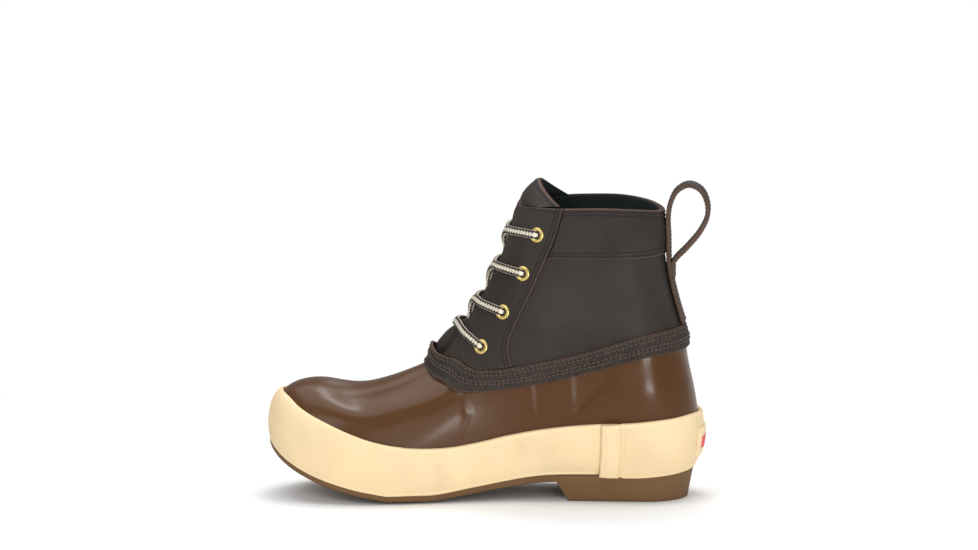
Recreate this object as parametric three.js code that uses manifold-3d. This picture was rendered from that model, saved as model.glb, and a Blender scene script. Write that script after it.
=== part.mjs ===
// Ankle-high lace-up boot for the right foot: a moulded rubber lower under a leather shaft, with wrapped rubber
// bands round the sole edge. Millimetres, +Z up, toe towards -X, inner (big toe) side towards -Y.
// The origin is on the floor, under the middle of the heel's tread.
import * as THREE from "three";
import { mergeVertices } from "three/addons/utils/BufferGeometryUtils.js";
import Module from "manifold-3d";

const wasm = await Module();
wasm.setup();

// Main sizes
const soleLength = 305;
const ballWidth = 112;
const heelWidth = 79;
const heelSetback = 54; // from the back of the heel to the origin
const heelHeight = 14.7;
const toeSpring = 36;
const instepHeight = 97; // top edge of the rubber, at the front of the throat
const collarHeight = 203;
const ankleWidth = 74;
const collarWidth = 75;

// Where the rubber's top edge and the collar begin and end, from the back of the heel
const rimBack = 12.5;
const rimFront = 192.5;
const collarBack = 29.5;
const collarFront = 132;

// Walls and layers
const rubberWall = 2.4;
const leatherWall = 2.2;
const overlayWall = 1.5;
const randWall = 2;
const bandThickness = 3.2;
const bandTopThickness = 1.3;
const lapThickness = 1.3; // the toe band's skived end, under the heel band
const soleThickness = 6;
const soleCrown = 2; // how far the tread rises to its sides in the forefoot
const insoleThickness = 5;
const tongueWall = 2.6;
const clearance = 0.3;

// Leather pieces
const throatWidth = 23;
const throatFoot = 29; // its width just above the rand
const collarBandHeight = 31;
const randHeight = 15.5;
const randFront = 0.65; // its height at the front, as a share
const randLean = 5.5; // how far its top edge stands off the tongue
const randRaise = 0.4; // at the front, as a share of its height
const tongueRise = 18; // above the collar
const tongueLean = 13;
const tongueWidth = 62;
const tongueRoot = 12; // how far it runs under the front of the rubber
const tongueBulge = 4.5; // between the lower eyestays

// Lacing
const eyeletOuter = 10.6;
const eyeletBore = 5.2;
const eyeletBarrelWall = 0.6;
const eyeletFlange = 0.8;
const laceDiameter = 5.2;
const laceLift = 1.3; // a strand's extra height where it leaves the eyelet's rim
const barRise = 11; // the lowest strand climbs this much from its eyelets to the throat

// Pull loop, heel plate and tread
const strapWidth = 16;
const strapThickness = 3.2;
const loopHeight = 53;
const loopDepth = 26;
const loopJoint = 167; // height where the loop comes back to the strap
const plateWidth = 36;
const plateHeight = 20;
const plateThickness = 1.3;
const plateRise = 30.5;
const heelTaper = 4;
const heelBreast = 93; // bottom of the heel's front face, from the back of the heel
const heelBreastSlant = 8;
const groovePitch = 15;
const grooveWidth = 2.4;
const grooveDepth = 1.4;
const grooveSweep = 0.42;

// Plan of the sole: half width as shares of the heel's and the ball's width, shift to the outer side as a share
// of the ball's width.
const plan = [
  { at: 0.0, heel: 0.5, ball: 0.0, shift: 0.0 },
  { at: 0.15, heel: 0.5, ball: 0.0, shift: 0.0 },
  { at: 0.3, heel: 0.36, ball: 0.095, shift: 0.015 },
  { at: 0.42, heel: 0.18, ball: 0.23, shift: 0.03 },
  { at: 0.55, heel: 0.06, ball: 0.385, shift: 0.03 },
  { at: 0.66, heel: 0.0, ball: 0.49, shift: 0.015 },
  { at: 0.74, heel: 0.0, ball: 0.5, shift: -0.01 },
  { at: 0.86, heel: 0.0, ball: 0.49, shift: -0.04 },
  { at: 1.0, heel: 0.0, ball: 0.47, shift: -0.065 },
];
const heelRound = 0.5; // length of the round heel end, as a share of the heel's width
const toeRound = 0.72; // length of the round toe end, as a share of the ball's width

// Heights along the sole. Tread: shares of the heel's height and of the toe spring. Band: top edge as a share of
// the instep height.
const profile = [
  { at: 0.0, heel: 1.2, toe: 0.0, band: 0.624 },
  { at: 0.02, heel: 1.09, toe: 0.0, band: 0.63 },
  { at: 0.05, heel: 1.0, toe: 0.0, band: 0.622 },
  { at: 0.09, heel: 0.92, toe: 0.0, band: 0.61 },
  { at: 0.154, heel: 0.83, toe: 0.0, band: 0.593 },
  { at: 0.26, heel: 0.9, toe: 0.0, band: 0.572 },
  { at: 0.367, heel: 0.82, toe: 0.0, band: 0.538 },
  { at: 0.46, heel: 0.53, toe: 0.0, band: 0.49 },
  { at: 0.52, heel: 0.31, toe: 0.0, band: 0.45 },
  { at: 0.58, heel: 0.085, toe: 0.0, band: 0.42 },
  { at: 0.6, heel: 0.03, toe: 0.0, band: 0.414 },
  { at: 0.62, heel: 0.0, toe: 0.0, band: 0.41 },
  { at: 0.66, heel: 0.0, toe: 0.0, band: 0.408 },
  { at: 0.7, heel: 0.0, toe: 0.0, band: 0.412 },
  { at: 0.715, heel: 0.0, toe: 0.0, band: 0.417 },
  { at: 0.74, heel: 0.0, toe: 0.04, band: 0.427 },
  { at: 0.79, heel: 0.0, toe: 0.13, band: 0.462 },
  { at: 0.866, heel: 0.0, toe: 0.317, band: 0.54 },
  { at: 0.918, heel: 0.0, toe: 0.497, band: 0.605 },
  { at: 0.957, heel: 0.0, toe: 0.675, band: 0.668 },
  { at: 0.985, heel: 0.0, toe: 0.86, band: 0.725 },
  { at: 1.0, heel: 0.0, toe: 1.0, band: 0.75 },
];

// Side sections of the rubber lower, by share of the sole's length: how far the bottom tucks in and how far the
// wall flares out above it (shares of the ball's width), how high the wall rises before it turns over (share of
// the instep height), and how it comes to the top edge (reach back, drop as a share of the instep height).
const walls = [
  { at: 0.0, tuck: 0.05, flare: 0.135, rise: 0.33, reach: 0.05, drop: 0.28 },
  { at: 0.1, tuck: 0.045, flare: 0.105, rise: 0.35, reach: 0.05, drop: 0.28 },
  { at: 0.3, tuck: 0.02, flare: 0.06, rise: 0.32, reach: 0.12, drop: 0.24 },
  { at: 0.5, tuck: 0.015, flare: 0.05, rise: 0.34, reach: 0.22, drop: 0.22 },
  { at: 0.7, tuck: 0.015, flare: 0.045, rise: 0.48, reach: 0.34, drop: 0.2 },
  { at: 0.85, tuck: 0.01, flare: 0.035, rise: 0.6, reach: 0.46, drop: 0.24 },
  { at: 1.0, tuck: 0.0, flare: 0.05, rise: 0.735, reach: 0.49, drop: 0.305 },
];
const toeDip = 0.042; // depth of the trough behind the toe cap, as a share of the instep height
const toeDipAt = 0.79;
const toeDipLength = 0.075;

// Rings that the shaft is drawn through: height as a share of its size, from the back (0) to the front (1).
const rimHeights = [
  { at: 0.0, high: 1.175 },
  { at: 0.15, high: 1.14 },
  { at: 0.37, high: 1.026 },
  { at: 0.57, high: 0.938 },
  { at: 0.7, high: 0.895 },
  { at: 0.78, high: 0.88 },
  { at: 0.86, high: 0.868 },
  { at: 0.93, high: 0.87 },
  { at: 0.983, high: 0.915 },
  { at: 1.0, high: 0.963 },
];
const collarHeights = [
  { at: 0.0, high: 0.998 },
  { at: 0.12, high: 1.012 },
  { at: 0.35, high: 1.022 },
  { at: 0.75, high: 1.018 },
  { at: 1.0, high: 1.014 },
];
const rimRing = {
  back: rimBack, front: rimFront, crowd: 0.62, width: ankleWidth, backRound: 0.45, frontRound: 0.56,
  shift: 0.02, size: instepHeight, heights: rimHeights,
};
const collarRing = {
  back: collarBack, front: collarFront, crowd: 0.7, width: collarWidth, backRound: 0.5, frontRound: 0.6,
  shift: 0.0, size: collarHeight, heights: collarHeights,
};
// How far the shaft has moved from the rim to the collar at half height: back, sides, front.
const shaftLine = [
  { at: 0.0, pull: 1.0 },
  { at: 0.5, pull: 0.7 },
  { at: 1.0, pull: 0.85 },
];

// Eyestay's back edge and the eyelets on it, by share of the collar height: edge as a share of the sole's length
// from the heel.
const eyestayEdge = [
  { at: 0.44, back: 0.422 },
  { at: 0.5, back: 0.434 },
  { at: 0.565, back: 0.437 },
  { at: 0.645, back: 0.416 },
  { at: 0.74, back: 0.385 },
  { at: 0.83, back: 0.358 },
  { at: 0.9, back: 0.337 },
  { at: 1.0, back: 0.318 },
];
const eyeletRows = [
  { name: "1", high: 0.535, across: 0.51, dip: 0.0 },
  { name: "2", high: 0.657, across: 0.62, dip: 0.34 },
  { name: "3", high: 0.792, across: 0.63, dip: 0.52 },
  { name: "4", high: 0.926, across: 0.6, dip: 0.5 },
];

// Pull loop's centre line from the joint up, over and back: shares of the loop's depth and height.
const loopLine = [
  { out: 0.0, up: 0.0 },
  { out: -0.02, up: 0.3 },
  { out: -0.01, up: 0.55 },
  { out: 0.05, up: 0.76 },
  { out: 0.2, up: 0.92 },
  { out: 0.5, up: 1.0 },
  { out: 0.8, up: 0.93 },
  { out: 0.97, up: 0.76 },
  { out: 0.97, up: 0.58 },
  { out: 0.78, up: 0.38 },
  { out: 0.45, up: 0.18 },
  { out: 0.1, up: 0.015 },
];

const materials = {
  rubber: new THREE.MeshStandardMaterial({ color: 0x5f3c29, roughness: 0.28 }),
  cream: new THREE.MeshStandardMaterial({ color: 0xf3d9a8, roughness: 0.6 }),
  tread: new THREE.MeshStandardMaterial({ color: 0x6b5135, roughness: 0.6 }),
  leather: new THREE.MeshStandardMaterial({ color: 0x3a302b, roughness: 0.62 }),
  lining: new THREE.MeshStandardMaterial({ color: 0x24302f, roughness: 0.95 }),
  brass: new THREE.MeshStandardMaterial({ color: 0xb79a4b, roughness: 0.35, metalness: 1 }),
  lace: new THREE.MeshStandardMaterial({ color: 0xd9c6a4, roughness: 0.85 }),
};

// Small helpers

const mix = (a, b, t) => a + (b - a) * t;
const clamp01 = (t) => Math.min(Math.max(t, 0), 1);
const ease = (a, b, x) => {
  const t = clamp01((x - a) / (b - a));
  return t * t * (3 - 2 * t);
};

// A smooth curve through one column of a table, read at a share between the first and last row.
function read(table, column, at) {
  const last = table.length - 1;
  let i = 0;
  while (i < last - 1 && at > table[i + 1].at) i++;
  const slope = (k) => {
    const a = table[Math.max(k - 1, 0)];
    const b = table[Math.min(k + 1, last)];
    return (b[column] - a[column]) / (b.at - a.at);
  };
  const [a, b] = [table[i], table[i + 1]];
  const d = b.at - a.at;
  const t = clamp01((at - a.at) / d);
  const [t2, t3] = [t * t, t * t * t];
  return (
    a[column] * (2 * t3 - 3 * t2 + 1) + b[column] * (3 * t2 - 2 * t3) +
    slope(i) * d * (t3 - 2 * t2 + t) + slope(i + 1) * d * (t3 - t2)
  );
}

// Share of the full width in a round end, a distance of q round lengths from the tip.
const roundEnd = (q, power) => (q >= 1 ? 1 : Math.pow(1 - Math.pow(1 - Math.max(q, 0), power), 1 / power));

// The boot is drawn along spokes. A turn runs from 0 at the back of the heel, down the inner side, to 0.5 at the
// toe and back up the outer side to 1.
function spoke(turn) {
  const round = ((turn % 1) + 1) % 1;
  const half = round <= 0.5 ? round * 2 : 2 - round * 2;
  return { side: round <= 0.5 ? -1 : 1, share: (1 - Math.cos(Math.PI * half)) / 2 };
}

const shareTurn = (share) => Math.acos(1 - 2 * share) / (2 * Math.PI);

// The sole's outline, pulled in all round by an inset.
function outline(turn, inset) {
  const { side, share } = spoke(turn);
  const length = soleLength - 2 * inset;
  const s = inset + length * share;
  const at = s / soleLength;
  const half = read(plan, "heel", at) * heelWidth + read(plan, "ball", at) * ballWidth - inset;
  const back = roundEnd((s - inset) / (heelRound * heelWidth - inset), 2.1);
  const front = roundEnd((length + inset - s) / (toeRound * ballWidth - inset), 2.2);
  return { x: heelSetback - s, y: read(plan, "shift", at) * ballWidth + side * half * back * front, at };
}

const treadHeight = (at) =>
  Math.max(read(profile, "heel", at) * heelHeight + read(profile, "toe", at) * toeSpring, 0);
const soleTop = (at) => treadHeight(at) + soleThickness;
const bandTop = (turn) => read(profile, "band", spoke(turn).share) * instepHeight;

function ringPoint(ring, turn) {
  const { side, share } = spoke(turn);
  const t = (1 + ring.crowd) * share - ring.crowd * share * share;
  const s = mix(ring.back, ring.front, t);
  const back = roundEnd((s - ring.back) / (ring.backRound * ring.width), 2);
  const front = roundEnd((ring.front - s) / (ring.frontRound * ring.width), 2);
  const y = ring.shift * ring.width + (side * ring.width * back * front) / 2;
  return new THREE.Vector3(heelSetback - s, y, read(ring.heights, "high", t) * ring.size);
}

// The outer face of rubber and leather. Level 0 is the sole's edge, 1 the rubber's top edge, 2 the collar.
function skin(turn, level) {
  const rim = ringPoint(rimRing, turn);
  const { share } = spoke(turn);
  if (level > 1) {
    const collar = ringPoint(collarRing, turn);
    const pull = read(shaftLine, "pull", share);
    const t = level - 1;
    const bend = new THREE.Vector3().lerpVectors(rim, collar, pull).setZ((rim.z + collar.z) / 2);
    return rim.multiplyScalar((1 - t) * (1 - t)).addScaledVector(bend, 2 * t * (1 - t))
      .addScaledVector(collar, t * t);
  }
  const wall = (column) => read(walls, column, share);
  const inset = bandThickness + clearance + wall("tuck") * ballWidth;
  const foot = outline(turn, inset);
  const wide = outline(turn, inset - wall("flare") * ballWidth);
  const start = new THREE.Vector3(foot.x, foot.y, soleTop(foot.at) + clearance);
  const up = new THREE.Vector3(wide.x, wide.y, start.z + wall("rise") * instepHeight);
  const over = new THREE.Vector3().lerpVectors(rim, start, wall("reach"))
    .setZ(rim.z - wall("drop") * instepHeight);
  const t = Math.max(level, 0);
  const point = start.multiplyScalar((1 - t) ** 3).addScaledVector(up, 3 * t * (1 - t) ** 2)
    .addScaledVector(over, 3 * t * t * (1 - t)).addScaledVector(rim, t ** 3);
  const behindToe = ((heelSetback - point.x) / soleLength - toeDipAt) / toeDipLength;
  const onTop = ease(0.35, 0.6, t) * (1 - ease(0.85, 1, t)) * ease(0.72, 0.95, share);
  point.z -= toeDip * instepHeight * Math.exp(-behindToe * behindToe) * onTop;
  return point;
}

function skinNormal(turn, level) {
  const [dt, dl] = [0.004, 0.03];
  const along = skin(turn + dt, level).sub(skin(turn - dt, level));
  const up = skin(turn, level + dl).sub(skin(turn, Math.max(level - dl, 0)));
  return up.cross(along).normalize();
}

// A point in or out from the skin. The lowest edges spread level, so that they stand evenly on the sole.
function onSkin(turn, level, out) {
  const seated = 1 - ease(0, 0.14, level);
  const normal = skinNormal(turn, level);
  const flat = normal.clone().setZ(0).normalize();
  const point = skin(turn, level).addScaledVector(normal.lerp(flat, seated).normalize(), out);
  const seat = soleTop((heelSetback - point.x) / soleLength) + clearance;
  if (seated > 0) point.z += seated * (seat - skin(turn, 0).z);
  return point;
}

// The place between two numbers where a test stops holding.
function bisect(from, to, holds) {
  let [a, b] = [from, to];
  for (let i = 0; i < 26; i++) {
    const middle = (a + b) / 2;
    if (holds(middle)) a = middle;
    else b = middle;
  }
  return (a + b) / 2;
}

// The level at which a spoke passes a height, between two levels.
const levelAt = (turn, height, low = 0, high = 2) => bisect(low, high, (level) => skin(turn, level).z < height);

// The turn on one side of the boot where a test on the skin's point at a height stops holding, heel to toe.
function turnWhere(side, height, holds) {
  const turnOf = (round) => (side < 0 ? round : 1 - round);
  return turnOf(bisect(0.1, 0.5, (round) => holds(skin(turnOf(round), levelAt(turnOf(round), height, 0.6)))));
}

const throatCentre = rimRing.shift * ankleWidth;
const throatTurn = (side, height) =>
  turnWhere(side, height, (p) => (p.y - throatCentre * (1 - ease(instepHeight, collarHeight, height))) * side >
    mix(throatFoot, throatWidth, ease(instepHeight, instepHeight * 1.4, height)) / 2);
const eyestayTurn = (side, height) => {
  const x = heelSetback - read(eyestayEdge, "back", height / collarHeight) * soleLength;
  return turnWhere(side, height, (p) => p.x > x);
};

// Solids from grids of points

const faces = () => {
  const points = [];
  return {
    points,
    quad: (a, b, c, d) => points.push(a, b, c, a, c, d),
    triangle: (a, b, c) => points.push(a, b, c),
  };
};

function solidFrom(points) {
  const flat = new THREE.BufferGeometry().setFromPoints(points);
  const merged = mergeVertices(flat, 1e-4);
  const index = [];
  const source = merged.index.array;
  for (let i = 0; i < source.length; i += 3) {
    const [a, b, c] = [source[i], source[i + 1], source[i + 2]];
    if (a !== b && b !== c && c !== a) index.push(a, b, c);
  }
  const solid = new wasm.Manifold(new wasm.Mesh({
    numProp: 3,
    vertProperties: merged.attributes.position.array,
    triVerts: new Uint32Array(index),
  }));
  return solid;
}

function meshFrom(name, solid, material) {
  const made = solid.getMesh();
  const position = new Float32Array(made.numVert * 3);
  for (let i = 0; i < made.numVert; i++) {
    position.set(made.vertProperties.subarray(i * made.numProp, i * made.numProp + 3), i * 3);
  }
  const geometry = new THREE.BufferGeometry();
  geometry.setAttribute("position", new THREE.BufferAttribute(position, 3));
  geometry.setIndex(new THREE.BufferAttribute(new Uint32Array(made.triVerts), 1));
  geometry.computeVertexNormals();
  const mesh = new THREE.Mesh(geometry, material);
  mesh.name = name;
  return mesh;
}

// Turns shared by every layer, so that the facets of neighbours stay parallel. An open layer runs from one turn
// to another and takes the shared turns between them.
const roundSteps = 44;
const allTurns = Array.from({ length: roundSteps }, (_, i) => i / roundSteps);
function turnsBetween(from, to) {
  const between = [];
  for (let k = Math.ceil(from * roundSteps + 0.3); k <= to * roundSteps - 0.3; k++) between.push(k / roundSteps);
  return [from, ...between, to];
}

// A layer of the boot between two depths from the skin. It has columns of turns and rows from its lower to its
// upper edge; turnAt and levelAt place a row on the skin.
function layer({ turns, rows, turnAt = (turn) => turn, levelAt: rowLevel, from, to, closed = false }) {
  const shape = faces();
  const grid = (depth) => turns.map((turn) => Array.from({ length: rows + 1 }, (_, j) => {
    const at = turnAt(turn, j / rows);
    return onSkin(at, rowLevel(at, j / rows), depth(at, j / rows));
  }));
  const [out, into] = [grid(to), grid(from)];
  const count = turns.length;
  for (let i = 0; i < (closed ? count : count - 1); i++) {
    const k = (i + 1) % count;
    const mirrored = spoke(turnAt(turns[i], 0.5) + 0.001).side < 0;
    for (let j = 0; j < rows; j++) {
      const [a, b, c, d] = [out[i][j], out[i][j + 1], out[k][j + 1], out[k][j]];
      const [e, f, g, h] = [into[i][j], into[k][j], into[k][j + 1], into[i][j + 1]];
      if (mirrored) {
        shape.quad(b, c, d, a);
        shape.quad(f, g, h, e);
      } else {
        shape.quad(a, b, c, d);
        shape.quad(e, f, g, h);
      }
    }
    shape.quad(out[i][0], out[k][0], into[k][0], into[i][0]);
    shape.quad(out[i][rows], into[i][rows], into[k][rows], out[k][rows]);
  }
  for (let j = 0; j < rows && !closed; j++) {
    shape.quad(out[0][j], into[0][j], into[0][j + 1], out[0][j + 1]);
    shape.quad(out[count - 1][j], out[count - 1][j + 1], into[count - 1][j + 1], into[count - 1][j]);
  }
  return solidFrom(shape.points);
}

// A slab over the sole's plan. Each face has its own inset, its own rows across and a height by share of the
// length and by place across, -1 to 1.
function slab(top, bottom, stations) {
  const shape = faces();
  const grid = (face) => Array.from({ length: stations + 1 }, (_, i) => {
    const turn = (0.5 * i) / stations;
    const [inner, outer] = [outline(turn, face.inset(turn)), outline(1 - turn, face.inset(turn))];
    return face.rows.map((across) => new THREE.Vector3(
      inner.x, mix(inner.y, outer.y, (across + 1) / 2), face.height(inner.at, across)));
  });
  const [up, down] = [grid(top), grid(bottom)];
  const [upLast, downLast] = [top.rows.length - 1, bottom.rows.length - 1];
  for (let i = 0; i < stations; i++) {
    for (let j = 0; j < upLast; j++) shape.quad(up[i][j], up[i][j + 1], up[i + 1][j + 1], up[i + 1][j]);
    for (let j = 0; j < downLast; j++) {
      shape.quad(down[i][j], down[i + 1][j], down[i + 1][j + 1], down[i][j + 1]);
    }
    shape.quad(up[i][0], up[i + 1][0], down[i + 1][0], down[i][0]);
    shape.quad(up[i][upLast], down[i][downLast], down[i + 1][downLast], up[i + 1][upLast]);
  }
  return solidFrom(shape.points);
}

// Sole

const soleInset = (turn) => read(walls, "tuck", spoke(turn).share) * ballWidth + bandThickness * 0.25;
const soleStations = 36;
const crown = (across) => soleCrown * Math.max(2 * Math.abs(across) - 1, 0) ** 2;

function heelBlock() {
  const sideSteps = 12;
  const shape = faces();
  const ring = (inset, cut, height) => {
    const end = bisect(0.02, 0.4, (turn) => heelSetback - outline(turn, inset).x < cut);
    return Array.from({ length: 2 * sideSteps + 1 }, (_, i) => {
      const p = outline(mix(-end, end, i / (2 * sideSteps)), inset);
      return new THREE.Vector3(p.x, p.y, height(p.at));
    });
  };
  const inset = soleInset(shareTurn(0.1));
  const top = ring(inset, heelBreast + heelBreastSlant, (at) => treadHeight(at) + soleThickness * 0.6);
  const foot = ring(inset + heelTaper, heelBreast, () => 0);
  const centre = (points, x) => new THREE.Vector3(x, 0, points[sideSteps].z);
  const [a, b] = [centre(top, 0), centre(foot, 0)];
  a.z = top[0].z;
  for (let i = 0; i < 2 * sideSteps; i++) {
    shape.quad(foot[i], top[i], top[i + 1], foot[i + 1]);
    shape.triangle(a, top[i + 1], top[i]);
    shape.triangle(b, foot[i], foot[i + 1]);
  }
  const [first, last] = [0, 2 * sideSteps];
  shape.quad(foot[last], top[last], top[first], foot[first]);
  shape.triangle(a, top[first], top[last]);
  shape.triangle(b, foot[last], foot[first]);
  return solidFrom(shape.points);
}

// A V-shaped groove across the tread, its point towards the toe.
function groove(tip, ground) {
  const steps = 4;
  const shape = faces();
  const ring = (i) => {
    const y = (mix(-0.62, 0.62, i / steps)) * ballWidth;
    const s = tip - Math.abs(y) * grooveSweep;
    const corner = (along, up) => new THREE.Vector3(
      heelSetback - s - along, y, ground(clamp01((s + along) / soleLength), y) + up);
    const [w, d] = [grooveWidth / 2, grooveDepth];
    return [corner(-w, -4), corner(w, -4), corner(w, d), corner(-w, d)];
  };
  for (let i = 0; i < steps; i++) {
    const [a, b] = [ring(i), ring(i + 1)];
    for (let k = 0; k < 4; k++) shape.quad(a[k], a[(k + 1) % 4], b[(k + 1) % 4], b[k]);
  }
  shape.quad(...ring(0).reverse());
  shape.quad(...ring(steps));
  return solidFrom(shape.points);
}

function outsole() {
  const plate = slab(
    { inset: soleInset, rows: [-1, 0, 1], height: soleTop },
    {
      inset: (turn) => soleInset(turn) + 1, rows: [-1, -0.8, -0.5, 0.5, 0.8, 1],
      height: (at, across) => treadHeight(at) + crown(across),
    },
    soleStations,
  );
  let solid = plate.add(heelBlock());
  const cut = (from, to, ground) => {
    for (let s = from; s < to; s += groovePitch) solid = solid.subtract(groove(s, ground));
  };
  const halfAt = (at) => read(plan, "heel", at) * heelWidth + read(plan, "ball", at) * ballWidth;
  const middle = (at) => read(plan, "shift", at) * ballWidth;
  cut(0.6 * soleLength, 0.97 * soleLength, (at, y) => treadHeight(at) + crown((y - middle(at)) / halfAt(at)));
  cut(heelSetback - 1.5 * groovePitch, heelBreast - grooveWidth, () => 0);
  return solid;
}

function insole() {
  const inset = (turn) => bandThickness + rubberWall + 3 * clearance +
    read(walls, "tuck", spoke(turn).share) * ballWidth;
  return slab(
    { inset, rows: [-1, 0, 1], height: (at) => soleTop(at) + clearance + insoleThickness },
    { inset, rows: [-1, 0, 1], height: (at) => soleTop(at) + clearance },
    soleStations,
  );
}

// Rubber and leather walls

// The rubber's rows follow the bands up to their top edge, so that the two surfaces stay parallel.
const bandRows = 4;
const vampRows = 7;
const bandLevel = (turn, v) => mix(0, levelAt(turn, bandTop(turn), 0, 0.8), v);

const rubberLower = () => layer({
  turns: allTurns, closed: true, rows: bandRows + vampRows,
  levelAt: (turn, v) => {
    const row = v * (bandRows + vampRows) - bandRows;
    return row < 0 ? bandLevel(turn, 1 + row / bandRows) : mix(bandLevel(turn, 1), 1, row / vampRows);
  },
  from: () => -rubberWall, to: () => 0,
});

// A turn kept between two edges that move with height; the shared turns between them stay where they are.
const between = (back, front, turn, turns) =>
  (turn === turns[0] ? back : turn === turns[turns.length - 1] ? front : turn);

function leatherUpper() {
  const heightAt = (v) => mix(instepHeight * 1.02, collarHeight, v);
  const turns = turnsBetween(throatTurn(1, heightAt(0.5)) - 1, throatTurn(-1, heightAt(0.5)));
  return layer({
    turns, rows: 7, levelAt: (turn, v) => mix(1 + clearance / 90, 2, v),
    turnAt: (turn, v) => between(throatTurn(1, heightAt(v)) - 1, throatTurn(-1, heightAt(v)), turn, turns),
    from: () => -leatherWall, to: () => 0,
  });
}

const rimHeight = (turn) => skin(turn, 1).z;

// The rand covers the joint of rubber and leather. At the front it lies mostly above the joint, is lower and
// leans forward off the tongue.
const randTall = (turn) => randHeight * mix(1, randFront, ease(0.85, 1, spoke(turn).share));
const randFoot = (turn) => rimHeight(turn) - randHeight * (0.5 - randRaise * ease(0.66, 0.86, spoke(turn).share));
const randTop = (turn) => randFoot(turn) + randTall(turn) + clearance * 2;

function rand() {
  const gap = (turn, v) => clearance * 1.5 + randLean * v * ease(0.88, 1, spoke(turn).share);
  return layer({
    turns: allTurns, closed: true, rows: 4,
    levelAt: (turn, v) => levelAt(turn, randFoot(turn) + randTall(turn) * v, 0.6, 1.5),
    from: gap, to: (turn, v) => gap(turn, v) + randWall,
  });
}

// The eyestay runs from the rand to the collar, between the throat and its own slanted back edge.
function eyestay(side) {
  const share = Array.from({ length: 7 }, (_, i) => i / 6);
  return layer({
    turns: share, rows: 9,
    turnAt: (u, v) => {
      const front = throatTurn(side, mix(instepHeight + randHeight, collarHeight * 0.995, v));
      const back = eyestayTurn(side, mix(instepHeight, collarHeight * 0.995, v));
      return side < 0 ? mix(back, front, u) : mix(front, back, u);
    },
    levelAt: (turn, v) => mix(levelAt(turn, randTop(turn), 0.9, 1.6), 2, v),
    from: () => clearance * 1.3, to: () => clearance * 1.3 + overlayWall,
  });
}

function collarBand() {
  const bottom = collarHeight - collarBandHeight;
  const gap = (clearance * 1.5) / (Math.PI * collarWidth);
  const edge = (side, v) => eyestayTurn(side, mix(bottom, collarHeight, v));
  const turns = turnsBetween(edge(1, 0) - 1 + gap, edge(-1, 0) - gap);
  return layer({
    turns, rows: 2,
    turnAt: (turn, v) => between(edge(1, v) - 1 + gap, edge(-1, v) - gap, turn, turns),
    levelAt: (turn, v) => mix(levelAt(turn, bottom, 1), 2, v),
    from: () => clearance, to: () => clearance + overlayWall,
  });
}

// The tongue lies under the eyestays, starts under the front of the rubber and leans back above the collar.
function tongue() {
  const depth = Math.max(leatherWall, rubberWall) + clearance * 1.5;
  const rootLevel = 1 - tongueRoot / 130;
  const [rootRows, rows] = [2, 12];
  const heightAt = (level) => mix(instepHeight * 1.03, collarHeight, clamp01(level - 1));
  const rowAt = (v) => {
    const row = v * rows;
    const above = Math.max(row - (rows - 2), 0) / 2;
    const level = row < rootRows ? mix(rootLevel, 1, row / rootRows)
      : mix(1, 2, Math.min((row - rootRows) / (rows - 2 - rootRows), 1));
    return { level, above };
  };
  const shape = faces();
  const grid = (out) => Array.from({ length: 11 }, (_, i) => Array.from({ length: rows + 1 }, (_, j) => {
    const { level, above } = rowAt(j / rows);
    const half = (tongueWidth / 2) * mix(0.6, 1, ease(0, 0.6, j / rows));
    const edge = (side) => turnWhere(side, heightAt(level), (p) => (p.y - throatCentre) * side > half);
    const middle = 1 - Math.abs(i / 5 - 1);
    const bulge = tongueBulge * ease(0.55, 0.85, middle) * ease(1.05, 1.16, level) * (1 - ease(1.17, 1.33, level));
    const point = onSkin(mix(edge(-1), edge(1), i / 10), level, out + bulge);
    point.z += above * tongueRise * mix(0.05, 1, 1 - (i / 5 - 1) ** 2);
    point.x += above * above * tongueLean;
    return point;
  }));
  const [out, into] = [grid(-depth), grid(-depth - tongueWall)];
  for (let i = 0; i < 10; i++) {
    for (let j = 0; j < rows; j++) {
      shape.quad(out[i][j], out[i][j + 1], out[i + 1][j + 1], out[i + 1][j]);
      shape.quad(into[i][j], into[i + 1][j], into[i + 1][j + 1], into[i][j + 1]);
    }
    shape.quad(out[i][0], out[i + 1][0], into[i + 1][0], into[i][0]);
    shape.quad(out[i][rows], into[i][rows], into[i + 1][rows], out[i + 1][rows]);
  }
  for (let j = 0; j < rows; j++) {
    shape.quad(out[0][j], into[0][j], into[0][j + 1], out[0][j + 1]);
    shape.quad(out[10][j], out[10][j + 1], into[10][j + 1], into[10][j]);
  }
  return solidFrom(shape.points);
}

// Bands round the sole's edge. The heel band laps over the toe band's ends.
const spliceBack = 0.165;
const spliceFront = 0.222;

const bandDepth = (v, thick) => clearance + mix(thick, Math.min(thick, bandTopThickness), ease(0.72, 1, v));

function toeBand() {
  const [back, ramp] = [shareTurn(spliceBack), shareTurn(spliceFront + 0.03)];
  const lap = (turn) => mix(lapThickness, bandThickness, ease(shareTurn(spliceFront), ramp, Math.min(turn, 1 - turn)));
  return layer({
    turns: turnsBetween(back, 1 - back), rows: bandRows, levelAt: bandLevel,
    from: () => clearance, to: (turn, v) => bandDepth(v, lap(turn)),
  });
}

function heelBand() {
  const [back, front] = [shareTurn(spliceBack), shareTurn(spliceFront)];
  const lift = (turn) => (lapThickness + clearance * 1.6) * ease(back - 0.04, back - 0.016, Math.abs(turn));
  const turns = turnsBetween(-front, front);
  return layer({
    turns, rows: bandRows, levelAt: bandLevel,
    from: (turn) => clearance + lift(turn), to: (turn, v) => bandDepth(v, bandThickness) + lift(turn),
  });
}

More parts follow.
